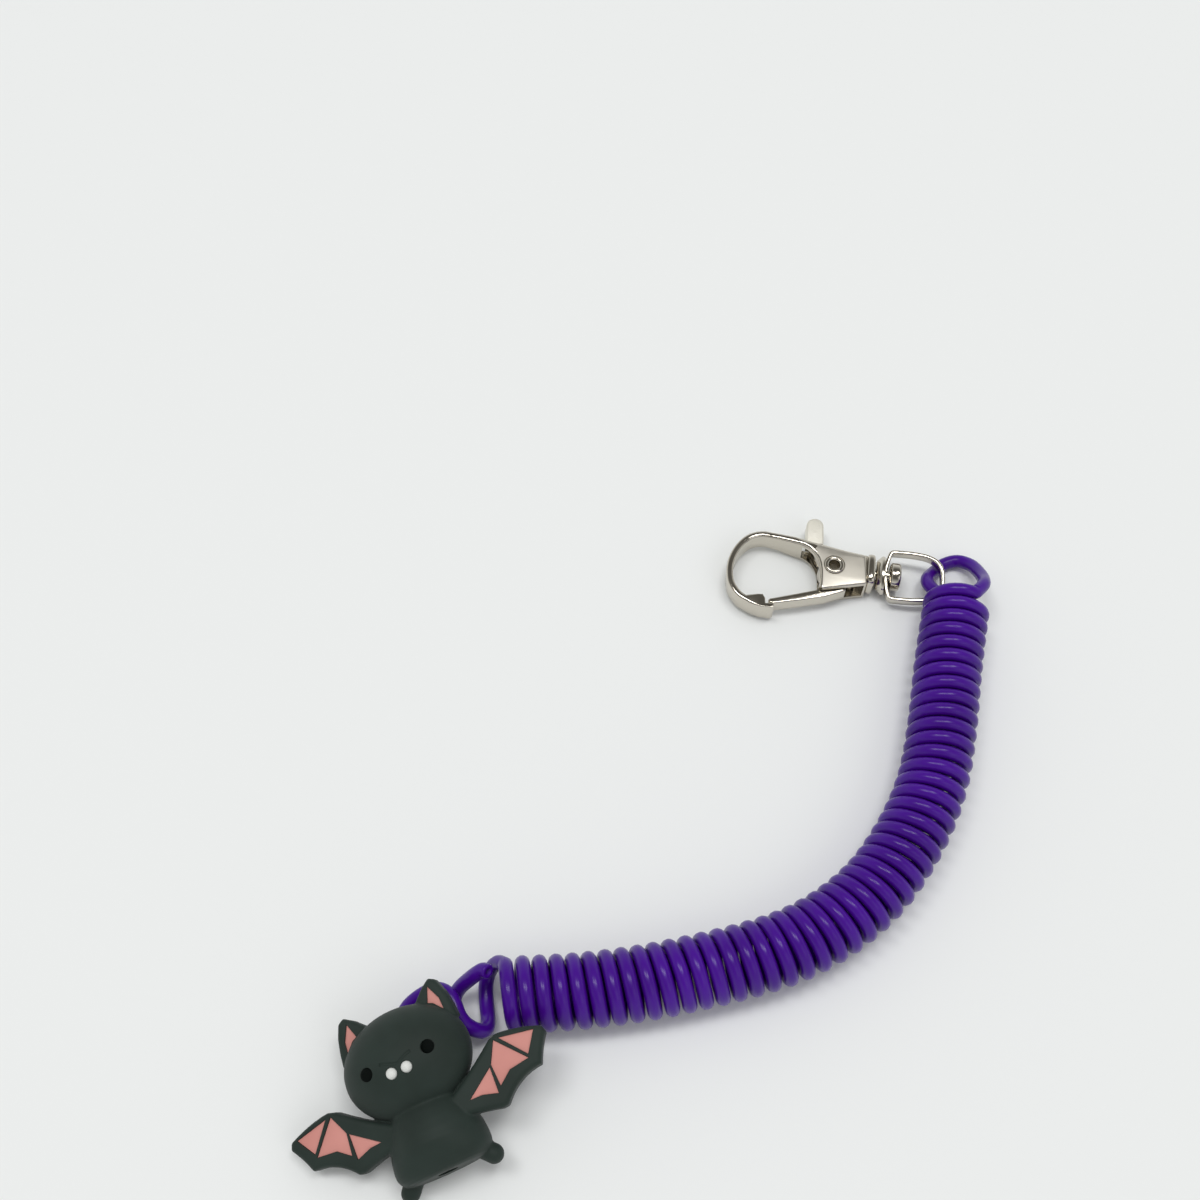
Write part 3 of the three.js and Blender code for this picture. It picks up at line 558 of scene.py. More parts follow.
# The casting thins from the body to the hook, and its crown fades over the cheeks
THIN_START, THIN_LENGTH = -5.5, 7
THIN_CUTS, THIN_CUT_STEP = 9, 0.9
CROWN_CUTS, CROWN_CUT_START = 13, -6
CHEEK_START, CHEEK_LENGTH = -5, 4


def clasp_outline():
    """The casting seen from above, with the radius of its rim at each point."""
    outer = flat_curve([
        (-5.3, 5.0), (-7.5, 5.35), (-11.3, 6.0), (-13.8, 6.1), (-16.1, 5.2), (-17.6, 3.7),
        (-18.8, 1.6), (-19.5, -0.8), (-19.6, -3.2), (-19.0, -6.0), (-17.2, -8.4), (-14.8, -9.7),
    ], HOOK_STEPS)
    inner = []
    for i in HOOK_INSIDE:
        (ax, ay), (bx, by) = outer[i - 1], outer[i + 1]
        size = math.hypot(bx - ax, by - ay)
        inner.append((outer[i][0] - HOOK_WALL * (by - ay) / size,
                      outer[i][1] + HOOK_WALL * (bx - ax) / size))
    gate_side = flat_curve([
        (-7.4, 3.9), (-5.8, 3.5), (-4.3, 2.6), (-3.2, 1.1), (-2.6, -1.0), (-2.4, -4.6),
    ], 22)
    back = flat_curve([(NECK_END, NECK_BACK), (2.5, 3.68), (-1.1, 4.3), (-5.3, 5.0)], 16)[:-1]
    tip = [(-12.8, -10.2), (-10.7, -10.2), (-10.25, -9.8), (-10.6, -9.3), (-11.9, -9.3),
           (-12.0, -8.3), (-12.5, -7.5), (-13.4, -7.6)]
    outline = [*back, *outer, *tip, *inner[::-1], *gate_side, (-1.8, -5.1), (NECK_END, NECK_GATE)]
    rims = [RIM_BODY] * len(back)
    rims += [RIM_BODY + (RIM_HOOK - RIM_BODY) * min(i / RIM_CHANGE_HOOK, 1) for i in range(len(outer))]
    rims += [RIM_TIP] * len(tip)
    rims += [RIM_HOOK] * len(inner)
    rims += [RIM_HOOK + RIM_GATE_MORE * min(i / RIM_CHANGE_GATE, 1) for i in range(len(gate_side))]
    rims += [RIM_NECK, RIM_NECK]
    return outline, rims


def hook_share(x):
    """The casting's thickness at x as a share of the body's: it thins smoothly along the hook."""
    t = min(max((THIN_START - x) / THIN_LENGTH, 0), 1)
    return 1 + (HOOK_DEPTH / BODY_THICKNESS - 1) * t * t * (3 - 2 * t)


def thinned(mesh):
    """The casting with its hook thinned and its top crowned, after cuts that let its faces bend."""
    work = bmesh.new()
    work.from_mesh(mesh)
    cuts = [((THIN_START - i * THIN_CUT_STEP, 0, 0), (1, 0, 0)) for i in range(THIN_CUTS)]
    cuts += [((0, CROWN_CUT_START + i, 0), (0, 1, 0)) for i in range(CROWN_CUTS)]
    for place, way in cuts:
        bmesh.ops.bisect_plane(
            work, geom=work.verts[:] + work.edges[:] + work.faces[:], dist=1e-5,
            plane_co=place, plane_no=way)
    bmesh.ops.triangulate(work, faces=[f for f in work.faces if len(f.verts) > 4])
    for vertex in work.verts:
        x, y, z = vertex.co
        upper = max(z - MID_HEIGHT, 0) / MID_HEIGHT
        cheek = min(max((x - CHEEK_START) / CHEEK_LENGTH, 0), 1)
        crown = CROWN * (y - CROWN_MIDDLE) ** 2 * upper * cheek
        vertex.co.z = MID_HEIGHT + (z - MID_HEIGHT) * hook_share(x) - crown
    work.to_mesh(mesh)
    work.free()
    return mesh


def shell_along(stations, half_width, half_height, squareness, sides=72):
    """A closed body along the swivel's axis: each station is its place and its share of the full size."""
    verts = []
    for x, share in stations:
        for s in range(sides):
            angle = 2 * math.pi * s / sides
            c, n = math.cos(angle), math.sin(angle)
            verts.append((
                x,
                SWIVEL_OFFSET + share * half_width * math.copysign(abs(c) ** (2 / squareness), c),
                MID_HEIGHT + share * half_height * math.copysign(abs(n) ** (2 / squareness), n)))
    rings = len(stations)
    caps = [tuple(range(sides)), tuple(range((rings - 1) * sides, rings * sides))]
    return mesh_of("shell", verts, caps + faces_between(rings, sides))


def make_clasp_body(material, satin):
    outline, rims = clasp_outline()
    casting = thinned(slab(outline, 0, BODY_THICKNESS, rims, 6))
    stations = [(NECK_END + x, share) for x, share in BEAD_STATIONS]
    bead = shell_along(stations, BEAD_HALF_WIDTH, MID_HEIGHT, 4)
    slot = slab([(SLOT_BACK, -CUT_PAST), (SLOT_NOTCH, -CUT_PAST), (SLOT_NOTCH, -2.1), (SLOT_FRONT, -1.7),
                 (SLOT_FRONT, 2.6), (SLOT_TOP_FRONT, 3.2), (SLOT_TOP_FRONT, CUT_PAST), (SLOT_BACK, CUT_PAST)],
                CHEEK_WALL, BODY_THICKNESS - CHEEK_WALL)
    bore = rod(RIVET_BARREL_RADIUS + 0.05, -1, BODY_THICKNESS + 1)
    recess = rod(RIVET_FLANGE_RADIUS + 0.12, -1, RIVET_FLANGE_THICKNESS + 0.04)
    dish_rim, dish_depth = RIVET_FLANGE_RADIUS + 0.05, 0.32
    dish = turned([(0, -dish_depth), (dish_rim, -dish_depth), (dish_rim + 0.3, 1), (0, 1)], 48)
    dish.transform(Matrix.Translation((0, 0, BODY_THICKNESS)))
    neck_bore = rod(SHAFT_RADIUS + CLEARANCE, SLOT_FRONT - 1, NECK_END + BEAD_LENGTH + 1, 40, "X",
                    (0, SWIVEL_OFFSET, MID_HEIGHT))
    mesh = cut(joined(casting, bead), slot, bore, recess, dish, neck_bore)
    for polygon in mesh.polygons:
        middle = polygon.center
        upward = polygon.normal.z > 0.97 and middle.z > BODY_THICKNESS - 1
        satin_part = upward and SATIN_FROM < middle.x < NECK_END - 0.3
        polygon.material_index = 1 if satin_part else 0
    place_piece("clasp_casting", mesh, TO_CLASP, "nickel", "clasp", material, satin,
                stands_for=["clasp_body"], sharp=32)


def make_pivot_rivet(material):
    top = BODY_THICKNESS - 0.3
    profile = [
        (RIVET_BORE_RADIUS, 0.0), (RIVET_FLANGE_RADIUS - 0.1, 0.0), (RIVET_FLANGE_RADIUS, 0.1),
        (RIVET_FLANGE_RADIUS, RIVET_FLANGE_THICKNESS), (RIVET_BARREL_RADIUS, RIVET_FLANGE_THICKNESS),
        (RIVET_BARREL_RADIUS, top), (RIVET_FLANGE_RADIUS - 0.06, top),
    ]
    middle = (RIVET_FLANGE_RADIUS + RIVET_BORE_RADIUS) / 2
    half = (RIVET_FLANGE_RADIUS - RIVET_BORE_RADIUS) / 2
    for i in range(9):
        angle = math.pi * i / 8
        profile.append((middle + half * math.cos(angle),
                        top + RIVET_LIP_CENTRE + RIVET_LIP_HEIGHT * math.sin(angle)))
    mesh = turned(profile, 56)
    place_piece("eyelet_rivet", mesh, TO_CLASP, "nickel", "clasp", material, stands_for=["pivot_rivet"])


# The lever fills the slot but for its clearances, and its boss has a well for the spring
LEVER_LOW, LEVER_HIGH = CHEEK_WALL + CLEARANCE, BODY_THICKNESS - CHEEK_WALL - CLEARANCE
LEVER_BOSS_RADIUS = 2.75
SPRING_WELL_RADIUS, SPRING_WELL_DEPTH = 2.35, 2.0
TAB_CENTRE, TAB_LEAN, TAB_FOOT, TAB_HALF_WIDTH, TAB_REACH = -3.7, -0.25, 4.7, 1.6, 5.9
KNURLED_FROM = TAB_FOOT + 0.8


def make_gate_lever(material, knurled):
    low, high = LEVER_LOW, LEVER_HIGH
    bar = slab([(-11.35, -8.2), (-11.1, -7.85), (-10.7, -7.75), (-6.5, -6.25), (-2.9, -4.95), (-2.45, -4.2),
                (-2.2, -1.4), (2.3, -1.2), (2.5, -4.3), (2.1, -4.6), (-1.2, -6.2), (-6.0, -7.65),
                (-10.4, -8.9), (-11.1, -8.8)], low, high, 0.25, 3)
    boss = rod(LEVER_BOSS_RADIUS, low, high, 56)
    arm = slab([(-2.5, 0.9), (-4.6, 4.4), (-2.3, 5.2), (-0.6, 2.5)], low, high, 0.15, 2)
    tab_line = [(TAB_CENTRE - TAB_HALF_WIDTH, TAB_FOOT), (TAB_CENTRE + TAB_HALF_WIDTH, TAB_FOOT)]
    for i in range(17):
        angle = math.pi * i / 16
        tab_line.append((TAB_CENTRE + TAB_LEAN + TAB_HALF_WIDTH * math.cos(angle),
                         TAB_FOOT + TAB_REACH - TAB_HALF_WIDTH + TAB_HALF_WIDTH * math.sin(angle)))
    tab = slab(tab_line, low, high, 0.35, 4)
    mesh = joined(boss, bar, arm, tab)
    bore = rod(RIVET_BARREL_RADIUS + 0.1, 0, 6)
    mesh = cut(mesh, bore, rod(SPRING_WELL_RADIUS, high - SPRING_WELL_DEPTH, 6))
    for polygon in mesh.polygons:
        polygon.material_index = 1 if polygon.center.y > KNURLED_FROM else 0
    place_piece("gate_and_thumb_tab", mesh, TO_CLASP, "nickel", "gate", material, knurled,
                stands_for=["gate_lever"])


def make_lever_spring(material):
    wire, pitch, turns, steps = 0.4, 0.85, 1.75, 84
    radius = RIVET_BARREL_RADIUS + CLEARANCE + 0.15 + wire / 2
    low = LEVER_HIGH - SPRING_WELL_DEPTH + 0.1 + wire / 2
    points = []
    for i in range(steps + 1):
        turn = turns * i / steps
        angle = 2 * math.pi * turn
        points.append(Vector((radius * math.cos(angle), radius * math.sin(angle), low + pitch * turn)))
    mesh, _ = tube_mesh("spring_wire", points, wire / 2, 12)
    place_piece("spring_wire", mesh, TO_CLASP, "spring_steel", "clasp", material,
                stands_for=["lever_spring"])


# Swivel: the ring's plate and strip, and the pin through them
BOSS_START = NECK_END + BEAD_LENGTH + 0.35
BOSS_HALF_WIDTH, BOSS_HALF_HEIGHT = 3.75, 2.6
RING_START = NECK_END + BEAD_LENGTH + 1.7
RING_STRIP = 0.8
RING_DEPTH = 2.15
RING_EDGE = 0.3
PIN_FLANGE_RADIUS, PIN_FLANGE_LENGTH = 1.5, 0.7
PIN_HEAD_START = RING_START + RING_STRIP + 0.25
PIN_HEAD_LENGTH, PIN_HEAD_RADIUS = 2.1, 2.6
RING_ROLL, RING_PITCH = 9, 3
RING_BASE = [(0, 0), (0.12, 1.7), (0.5, 3.4), (0.85, 4.4), (1.3, 4.9), (2.3, 5.05)]
RING_LEG = [(2.3, 5.05), (5.5, 5.0), (8.4, 4.55), (10.1, 3.6), (11.0, 2.2), (11.3, 0)]


def make_swivel_rivet(material):
    back = SLOT_FRONT - CLEARANCE - PIN_FLANGE_LENGTH
    head, end = PIN_HEAD_START, PIN_HEAD_START + PIN_HEAD_LENGTH
    profile = [
        (0, back), (PIN_FLANGE_RADIUS - 0.1, back), (PIN_FLANGE_RADIUS, back + 0.1),
        (PIN_FLANGE_RADIUS, back + PIN_FLANGE_LENGTH), (SHAFT_RADIUS, back + PIN_FLANGE_LENGTH),
        (SHAFT_RADIUS, head), (1.42, head), (1.6, head + 0.03), (1.95, head + 0.12), (2.35, head + 0.27),
        (2.54, head + 0.38), (PIN_HEAD_RADIUS, head + 0.5), (PIN_HEAD_RADIUS, end - 0.5), (2.56, end - 0.3),
        (2.45, end - 0.13), (2.25, end - 0.03), (2.0, end), (0.7, end), (0.55, end - 0.06),
        (0.4, end - 0.2), (0, end - 0.24),
    ]
    mesh = turned(profile, 64, "X")
    mesh.transform(Matrix.Translation((0, SWIVEL_OFFSET, MID_HEIGHT)))
    place_piece("swivel_pin", mesh, TO_CLASP, "nickel", "clasp", material, stands_for=["swivel_rivet"])


def ring_faces(inset):
    """The strip's outer face, moved inwards by inset, all the way round."""
    face = flat_curve(RING_BASE, 20)[:-1] + flat_curve(RING_LEG, 30)
    upper = []
    for i, (x, y) in enumerate(face):
        (ax, ay), (bx, by) = face[max(i - 1, 0)], face[min(i + 1, len(face) - 1)]
        size = math.hypot(bx - ax, by - ay)
        upper.append((x + inset * (by - ay) / size, y - inset * (bx - ax) / size))
    upper[0] = (face[0][0] + inset, 0)
    upper[-1] = (face[-1][0] - inset, 0)
    return upper + [(x, -y) for x, y in upper[-2:0:-1]]


def make_swivel_ring(material):
    """A strip bent round and met at the base, against a pressed oval plate."""
    outer, inner = ring_faces(0), ring_faces(RING_STRIP)
    half = RING_DEPTH / 2
    share = RING_EDGE / RING_STRIP
    section = []
    for corner_x, corner_z, start in ((0, -1, 180), (1, -1, 270), (1, 1, 0), (0, 1, 90)):
        for k in range(5):
            angle = math.radians(start + 90 * k / 4)
            x = (share if corner_x == 0 else 1 - share) + share * math.cos(angle)
            z = corner_z * (half - RING_EDGE) + RING_EDGE * math.sin(angle)
            section.append((x, z))
    verts = []
    for (ox, oy), (ix, iy) in zip(outer, inner):
        for part, z in section:
            verts.append((ox + (ix - ox) * part, oy + (iy - oy) * part, z))
    strip = mesh_of("strip", verts, faces_between(len(outer), len(section), closed=True))
    thick = RING_START - BOSS_START
    profile = [(0, 0), (0.62, 0), (0.7, 0.04), (0.76, 0.15), (0.85, 0.5), (0.93, 0.8), (0.98, 1), (1, 1.15),
               (1, thick + 0.2), (0, thick + 0.2)]
    plate = turned(profile, 72, "X")
    plate.transform(Matrix.Translation((BOSS_START - RING_START, 0, 0))
                    @ Matrix.Diagonal((1, BOSS_HALF_WIDTH, BOSS_HALF_HEIGHT, 1)))
    hole = rod(SHAFT_RADIUS + 0.1, -2, RING_STRIP + 1, 40, "X")
    mesh = cut(joined(strip, plate), hole)
    mesh.transform(
        Matrix.Translation((RING_START, SWIVEL_OFFSET, MID_HEIGHT))
        @ Matrix.Rotation(math.radians(-RING_PITCH), 4, "Y")
        @ Matrix.Rotation(math.radians(RING_ROLL), 4, "X"))
    place_piece("swivel_d_ring", mesh, TO_CLASP, "nickel", "ring", material, stands_for=["swivel_ring"])


# Bat stopper, in its own frame: x to the right as it faces the viewer, y to its head, z out of its
# face. Its sides are named as the viewer sees them, and hand is 1 on the right and -1 on the left.
HEAD_RADII = (10.15, 8.2, 6.7)
HEAD_CENTRE = (0, 15.9, 7.25)
HEAD_FULLNESS = 2.04
TORSO_RADIUS, TORSO_FLATNESS = 7.7, 0.83
TORSO_START, TORSO_HEIGHT = -1, 14
TORSO_CENTRE = 6.5
TUCK_END, TUCK_LENGTH, TUCK_SHARE = 4.5, 5.5, 0.3
BACK_PLANE = 0.8
FAR_BELOW, FAR_ABOVE, FAR_ASIDE = -30, 60, 40
FOOT_START, FOOT_END, FOOT_RADIUS = (4.6, 1.2, 5.6), (6.9, -1.3, 5), 1.5
WING_FRONT, WING_SWEEP, WING_THICKNESS = 10.2, 5.7, 3.3
EAR_BACK, EAR_THICKNESS = 4.9, 3.2
EAR_TOP = EAR_BACK + EAR_THICKNESS
MOULD_EDGE = 0.8

# Each pocket is grown from its panel's outline, and its fill a little less, below the rim
INLAY_DEPTH, INLAY_BEDDING, INLAY_EDGE = 1.0, 0.05, 0.08
EAR_POCKET_GROWTH, EAR_FILL_GROWTH, EAR_FILL_BELOW = 0.15, 0.12, 0.25
WING_POCKET_GROWTH, WING_FILL_GROWTH, WING_FILL_BELOW = 0.12, 0.09, 0.22
EYE_PLACE, EYE_RADIUS, EYE_RISE = (5.0, 15.9), 1.0, 0.12
FANG_PLACE, FANG_RADIUS, FANG_RISE = (1.22, 14.4), 0.85, 0.7
FACE_BEAD_LOW, FACE_BEAD_EDGE = -1.1, -0.15
MOUTH = [(-2.6, 16.3), (-1.9, 16.15), (-1.0, 15.75), (0, 15.45), (1.0, 15.75), (1.9, 16.15), (2.6, 16.3)]
MOUTH_RISE, MOUTH_RADIUS = 0.2, 0.33
BORE_RADIUS, BORE_HEIGHT = 1.6, 7.04
TETHER_PLACE = (3.5, 20.5)
TETHER_SEAT_RADIUS, TETHER_SHANK_RADIUS, TETHER_SHANK_DEPTH = 2.8, 0.5, 2.4

# How finely the mould's shape is rebuilt, and how many passes round off its creases
MOULD_GRAIN, MOULD_PASSES = ((0.16, 8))

WING_PANELS = {
    "outer": [(14.6, 13.2), (17.8, 9.4), (19.7, 12.2)],
    "middle": [(13.7, 13.1), (12.15, 10.05), (12.4, 6.85), (14.4, 8.4), (17.5, 8.8)],
    "inner": [(11.7, 9.7), (7.45, 6.7), (9.3, 6.7), (11.6, 6.0)],
}
EAR_OUTLINE = [
    (9.7, 19.2), (9.5, 21.3), (9.1, 23.5), (8.3, 25.6), (7.3, 26.2), (5.8, 25.2), (4.2, 23.6), (5.5, 18.0),
]
EAR_PANEL = [(8.1, 20.9), (7.9, 22.6), (6.9, 24.8), (6.2, 22.7), (6.9, 22.4)]


def head_surface(x, y, side=1):
    """The height of the head's face over x and y, or of the back of the head where side is -1."""
    rx, ry, rz = HEAD_RADII
    cx, cy, cz = HEAD_CENTRE
    return cz + side * rz * math.sqrt(1 - ((x - cx) / rx) ** 2 - ((y - cy) / ry) ** 2)


def bow(start, end, sag, steps):
    """A curve from start towards end, bowed by sag, without its last point."""
    a, c = Vector(start), Vector(end)
    b = (a + c) / 2 + Vector(sag)
    out = []
    for i in range(steps):
        t = i / steps
        p = a * (1 - t) ** 2 + b * (2 * t * (1 - t)) + c * t ** 2
        out.append((p.x, p.y))
    return out


def wing_outline():
    return [
        *bow((4.6, 5.0), (11.5, 3.7), (0, 0.3), 8), (11.5, 3.7),
        *bow((12.4, 3.8), (19.1, 7.2), (-0.7, 1.5), 10),
        *bow((19.1, 7.2), (21.45, 11.35), (-0.4, 0), 6), (21.45, 11.35),
        *bow((21.1, 12.4), (14.2, 14.1), (0, 0.6), 8), (14.2, 14.1),
        *bow((12.9, 13.65), (4.6, 8.2), (0.2, -0.4), 8), (4.6, 8.2),
    ]


def wing_slab(outline, hand, low, high, edge=0.0, steps=4):
    """A plate in the plane of a wing's front, which sweeps back towards the wing's tip."""
    mesh = slab(handed(outline, hand), low, high, edge, steps)
    sweep = Matrix.Rotation(math.radians(hand * WING_SWEEP), 4, "Y")
    mesh.transform(Matrix.Translation((0, 0, WING_FRONT)) @ sweep)
    return mesh


def handed(points, hand):
    """An outline drawn for the right side, or its mirror image for the left."""
    return points if hand > 0 else [(-x, y) for x, y in points][::-1]


def grown(outline, distance):
    """The outline moved outwards by distance all the way round."""
    line = outline if area_of(outline) > 0 else outline[::-1]
    return [(x - px * distance, y - py * distance) for (x, y), (px, py) in zip(line, inward(line))]


def torso():
    shares = [(0, 0), (0.6, 0), (0.74, 0.004), (0.86, 0.025), (0.94, 0.065), (0.985, 0.11), (1, 0.155),
              (0.995, 0.23), (0.975, 0.32), (0.93, 0.43), (0.87, 0.535), (0.79, 0.64), (0.69, 0.75),
              (0.55, 0.85), (0.4, 0.93), (0.2, 0.98), (0, 1)]
    mesh = turned([(TORSO_RADIUS * r, TORSO_HEIGHT * h + TORSO_START) for r, h in shares], 64, "Y")
    mesh.transform(Matrix.Translation((0, 0, TORSO_CENTRE)) @ Matrix.Diagonal((1, 1, TORSO_FLATNESS, 1)))

    # The belly's front is tucked in between the feet
    for vertex in mesh.vertices:
        x, y, z = vertex.co
        if z > TORSO_CENTRE and y < TUCK_END:
            t = (TUCK_END - y) / TUCK_LENGTH
            across = max(1 - (x / TORSO_RADIUS) ** 2, 0)
            tuck = TUCK_SHARE * t * t * (3 - 2 * t) * across
            vertex.co.z = TORSO_CENTRE + (z - TORSO_CENTRE) * (1 - tuck)
    return mesh


def softened(mesh, voxel, passes):
    """The union of overlapping shapes with their creases rounded off, as a mould leaves them."""
    thing = new_object("work", mesh)
    remesh = thing.modifiers.new("remesh", "REMESH")
    remesh.mode = "VOXEL"
    remesh.voxel_size = voxel
    remesh.adaptivity = 0
    smooth = thing.modifiers.new("smooth", "SMOOTH")
    smooth.factor = 0.5
    smooth.iterations = passes
    return applied(thing)


def make_bat_body(material):
    shapes = [ball(HEAD_RADII, HEAD_CENTRE, 96, HEAD_FULLNESS), torso()]
    holes = []
    for hand in (1, -1):
        hip, heel = (Vector((hand * x, y, z)) for x, y, z in (FOOT_START, FOOT_END))
        foot = [hip.lerp(heel, i / 8) for i in range(9)]
        shapes.append(tube_mesh("leg", foot, FOOT_RADIUS, 32)[0])
        shapes.append(ball((FOOT_RADIUS,) * 3, tuple(foot[-1]), 32))
        shapes.append(slab(handed(EAR_OUTLINE, hand), EAR_BACK, EAR_TOP, MOULD_EDGE, 4))
        shapes.append(wing_slab(wing_outline(), hand, -WING_THICKNESS, 0, MOULD_EDGE, 5))
        ear_pocket = grown(handed(EAR_PANEL, hand), EAR_POCKET_GROWTH)
        holes.append(slab(ear_pocket, EAR_TOP - INLAY_DEPTH, EAR_TOP + 4))
        for panel in WING_PANELS.values():
            holes.append(wing_slab(grown(panel, WING_POCKET_GROWTH), hand, -INLAY_DEPTH, 2))
        for (x, y), radius in ((EYE_PLACE, EYE_RADIUS), (FANG_PLACE, FANG_RADIUS)):
            surface = head_surface(x, y)
            pocket = rod(radius + 0.04, surface + FACE_BEAD_LOW - 0.1, surface + 3, 32, "Z", (hand * x, y, 0))
            holes.append(pocket)
    back = slab([(-FAR_ASIDE, -FAR_ASIDE), (FAR_ASIDE, -FAR_ASIDE), (FAR_ASIDE, FAR_ABOVE),
                 (-FAR_ASIDE, FAR_ABOVE)], FAR_BELOW, BACK_PLANE)
    mouth = catmull_rom([(x, y, head_surface(x, y) + MOUTH_RISE) for x, y in MOUTH], 40)
    holes.append(tube_mesh("mouth", mouth, MOUTH_RADIUS, 12)[0])
    holes.append(rod(BORE_RADIUS, FAR_BELOW, FAR_ABOVE, 48, "Y", (0, 0, BORE_HEIGHT)))
    skin = head_surface(*TETHER_PLACE, -1)
    holes.append(rod(TETHER_SEAT_RADIUS, BACK_PLANE - 0.3, skin + 0.15, 48, "Z", (*TETHER_PLACE, 0)))
    holes.append(rod(TETHER_SHANK_RADIUS + 0.12, skin - 1, skin + 2.8, 24, "Z", (*TETHER_PLACE, 0)))
    body = softened(cut(joined(shapes[0], *shapes[1:]), back), MOULD_GRAIN, MOULD_PASSES)
    place_piece("bat_silicone", cut(body, *holes), TO_BAT, "charcoal_silicone", "bat", material,
                stands_for=["bat_body"], sharp=40)


def make_inlays(pink):
    for side, hand in (("right", 1), ("left", -1)):
        ear = slab(grown(handed(EAR_PANEL, hand), EAR_FILL_GROWTH), EAR_TOP - INLAY_DEPTH - INLAY_BEDDING,
                   EAR_TOP - EAR_FILL_BELOW, INLAY_EDGE, 2)
        place_piece(f"ear_fill_{side}", ear, TO_BAT, "pink_silicone", "bat", pink,
                    stands_for=[f"ear_inlay_{side}"])
        for name, panel in WING_PANELS.items():
            fill = wing_slab(grown(panel, WING_FILL_GROWTH), hand, -INLAY_DEPTH - INLAY_BEDDING,
                             -WING_FILL_BELOW, INLAY_EDGE, 2)
            place_piece(f"wing_fill_{name}_{side}", fill, TO_BAT, "pink_silicone", "bat", pink,
                        stands_for=[f"wing_panel_{name}_{side}"])


def make_face(black, white):
    for side, hand in (("right", 1), ("left", -1)):
        for name, (x, y), radius, rise, material, slot in (
            ("eye", EYE_PLACE, EYE_RADIUS, EYE_RISE, black, "black_silicone"),
            ("fang", FANG_PLACE, FANG_RADIUS, FANG_RISE, white, "white_silicone"),
        ):
            profile = [(0, FACE_BEAD_LOW), (radius, FACE_BEAD_LOW), (radius, FACE_BEAD_EDGE)]
            profile += [(radius * math.cos(a), FACE_BEAD_EDGE + (rise - FACE_BEAD_EDGE) * math.sin(a))
                        for a in (math.pi / 2 * i / 8 for i in range(1, 8))]
            profile.append((0, rise))
            mesh = turned(profile, 32)
            mesh.transform(Matrix.Translation((hand * x, y, head_surface(x, y))))
            place_piece(f"{name}_bead_{side}", mesh, TO_BAT, slot, "bat", material,
                        stands_for=[f"{name}_{side}"])


def make_tether_eye(material):
    skin = head_surface(*TETHER_PLACE, -1)
    drop, wire, inner, count, sides = 2.35, 0.7, 1.4, 48, 14
    radius = inner + wire / 2
    verts = []
    for i in range(count):
        turn = 2 * math.pi * i / count
        point = Vector((0, radius * math.cos(turn), radius * math.sin(turn)))
        out = point.normalized()
        for s in range(sides):
            angle = 2 * math.pi * s / sides
            sideways = Vector((wire / 2 * math.sin(angle), 0, 0))
            verts.append(point + out * (wire / 2 * math.cos(angle)) + sideways)
    ring = mesh_of("eye_ring", verts, faces_between(count, sides, closed=True))
    shank = rod(TETHER_SHANK_RADIUS, radius - 0.1, drop + TETHER_SHANK_DEPTH, 32)
    mesh = joined(ring, shank)
    mesh.transform(Matrix.Translation((*TETHER_PLACE, skin - drop)))
    place_piece("screw_eye", mesh, TO_BAT, "nickel", "eye", material, stands_for=["tether_eye"])


# Floor, lamps and world
def make_floor():
    reach, sides = 9.0, 96
    rim = []
    for i in range(sides):
        angle = 2 * math.pi * i / sides
        rim.append((reach * math.cos(angle), reach * math.sin(angle), 0))
    mesh = mesh_of("table", rim, [tuple(range(sides))])
    floor = new_object("table", mesh)
    material, shader = new_material("table_top", (234, 236, 235), 0.7)
    shader.inputs["Specular IOR Level"].default_value = 0.2
    mesh.materials.append(material)


def make_lamp(name, place, size, power):
    data = bpy.data.lights.new(name, "AREA")
    data.shape = "RECTANGLE"
    data.size, data.size_y = size
    data.energy = power
    lamp = bpy.data.objects.new(name, data)
    lamp.location = place
    lamp.rotation_euler = (-Vector(place)).to_track_quat("-Z", "Y").to_euler()
    bpy.context.scene.collection.objects.link(lamp)


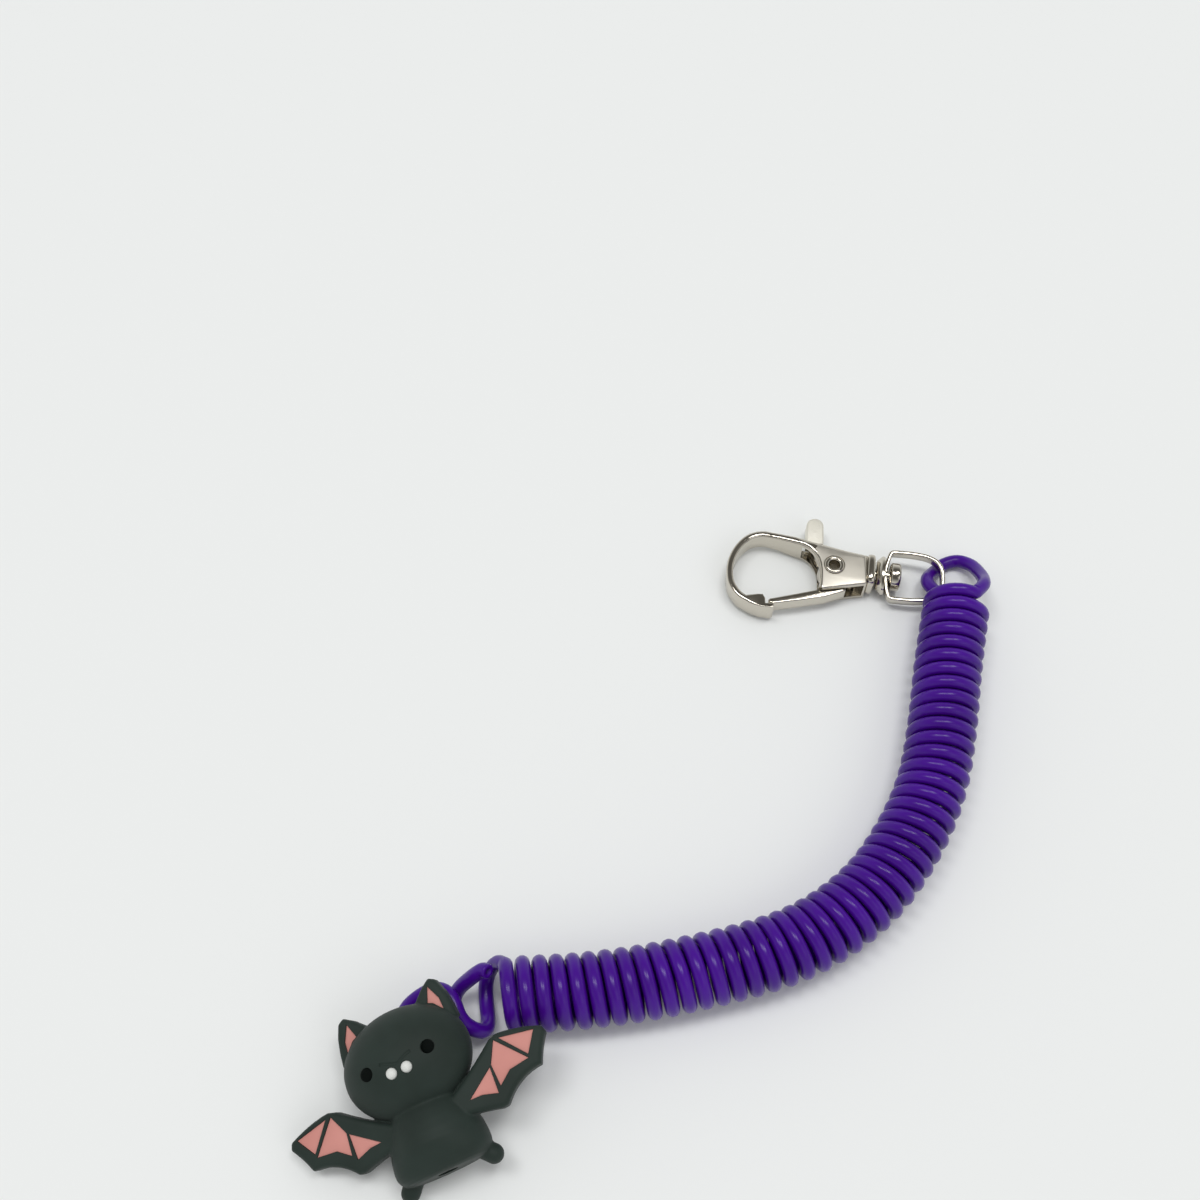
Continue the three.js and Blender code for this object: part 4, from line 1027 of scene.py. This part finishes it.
def make_world():
    """Even light, with a pale room that darkens overhead for the camera and for reflections."""
    world = bpy.data.worlds.new("room")
    bpy.context.scene.world = world
    world.use_nodes = True
    nodes, links = world.node_tree.nodes, world.node_tree.links
    nodes.clear()
    out = nodes.new("ShaderNodeOutputWorld")
    light = nodes.new("ShaderNodeBackground")
    light.inputs["Color"].default_value = (1, 1, 1, 1)
    light.inputs["Strength"].default_value = 0.5
    shown = nodes.new("ShaderNodeBackground")
    shown.inputs["Strength"].default_value = 1.0
    place = nodes.new("ShaderNodeTexCoord")
    split = nodes.new("ShaderNodeSeparateXYZ")
    ramp = nodes.new("ShaderNodeValToRGB")
    low, high = ramp.color_ramp.elements
    low.position, low.color = 0.2, linear((232, 234, 233))
    high.position, high.color = 0.75, linear((92, 90, 86))
    links.new(place.outputs["Generated"], split.inputs["Vector"])
    links.new(split.outputs["Z"], ramp.inputs["Fac"])
    links.new(ramp.outputs["Color"], shown.inputs["Color"])
    path = nodes.new("ShaderNodeLightPath")
    seen = path.outputs["Is Camera Ray"]
    for ray in ("Is Glossy Ray", "Is Transmission Ray"):
        either = nodes.new("ShaderNodeMath")
        either.operation = "MAXIMUM"
        links.new(seen, either.inputs[0])
        links.new(path.outputs[ray], either.inputs[1])
        seen = either.outputs[0]
    mix = nodes.new("ShaderNodeMixShader")
    links.new(seen, mix.inputs["Fac"])
    links.new(light.outputs[0], mix.inputs[1])
    links.new(shown.outputs[0], mix.inputs[2])
    links.new(mix.outputs[0], out.inputs["Surface"])


purple = cord_plastic()
make_cord(purple)

nickel = nickel_plate()
satin_nickel = nickel_plate("satin_nickel", 2400, 0.12, (0.44, 0.36), (214, 209, 198))
knurled_nickel = nickel_plate("knurled_nickel", 3800, 1.0, (0.62, 0.5), (240, 237, 226))
steel, _ = new_material("spring_steel", (150, 148, 142), 0.3, 1.0)
make_clasp_body(nickel, satin_nickel)
make_pivot_rivet(nickel)
make_gate_lever(nickel, knurled_nickel)
make_lever_spring(steel)
make_swivel_rivet(nickel)
make_swivel_ring(nickel)

charcoal = silicone("charcoal_silicone", (37, 49, 44), (32, 43, 38))
pink = silicone("pink_silicone", (208, 143, 134), (201, 136, 127))
black = silicone("black_silicone", (3, 9, 6), (1, 6, 4), 0.7, 0.08)
white = silicone("white_silicone", (222, 224, 220), (212, 214, 210), 0.4)
make_bat_body(charcoal)
make_inlays(pink)
make_face(black, white)
make_tether_eye(nickel)

make_floor()
make_world()
WINDOW_SIZE, WINDOW_POWER = (1.9, 3.0), 165
make_lamp("left_window", (-2.27, 0.8, 8), WINDOW_SIZE, WINDOW_POWER)
make_lamp("right_window", (1.29, 0.8, 8), WINDOW_SIZE, WINDOW_POWER)
make_lamp("fill", (4, -4, 5.6), (4.5, 4.5), 50)

scene = bpy.context.scene
scene.view_settings.view_transform = "Standard"
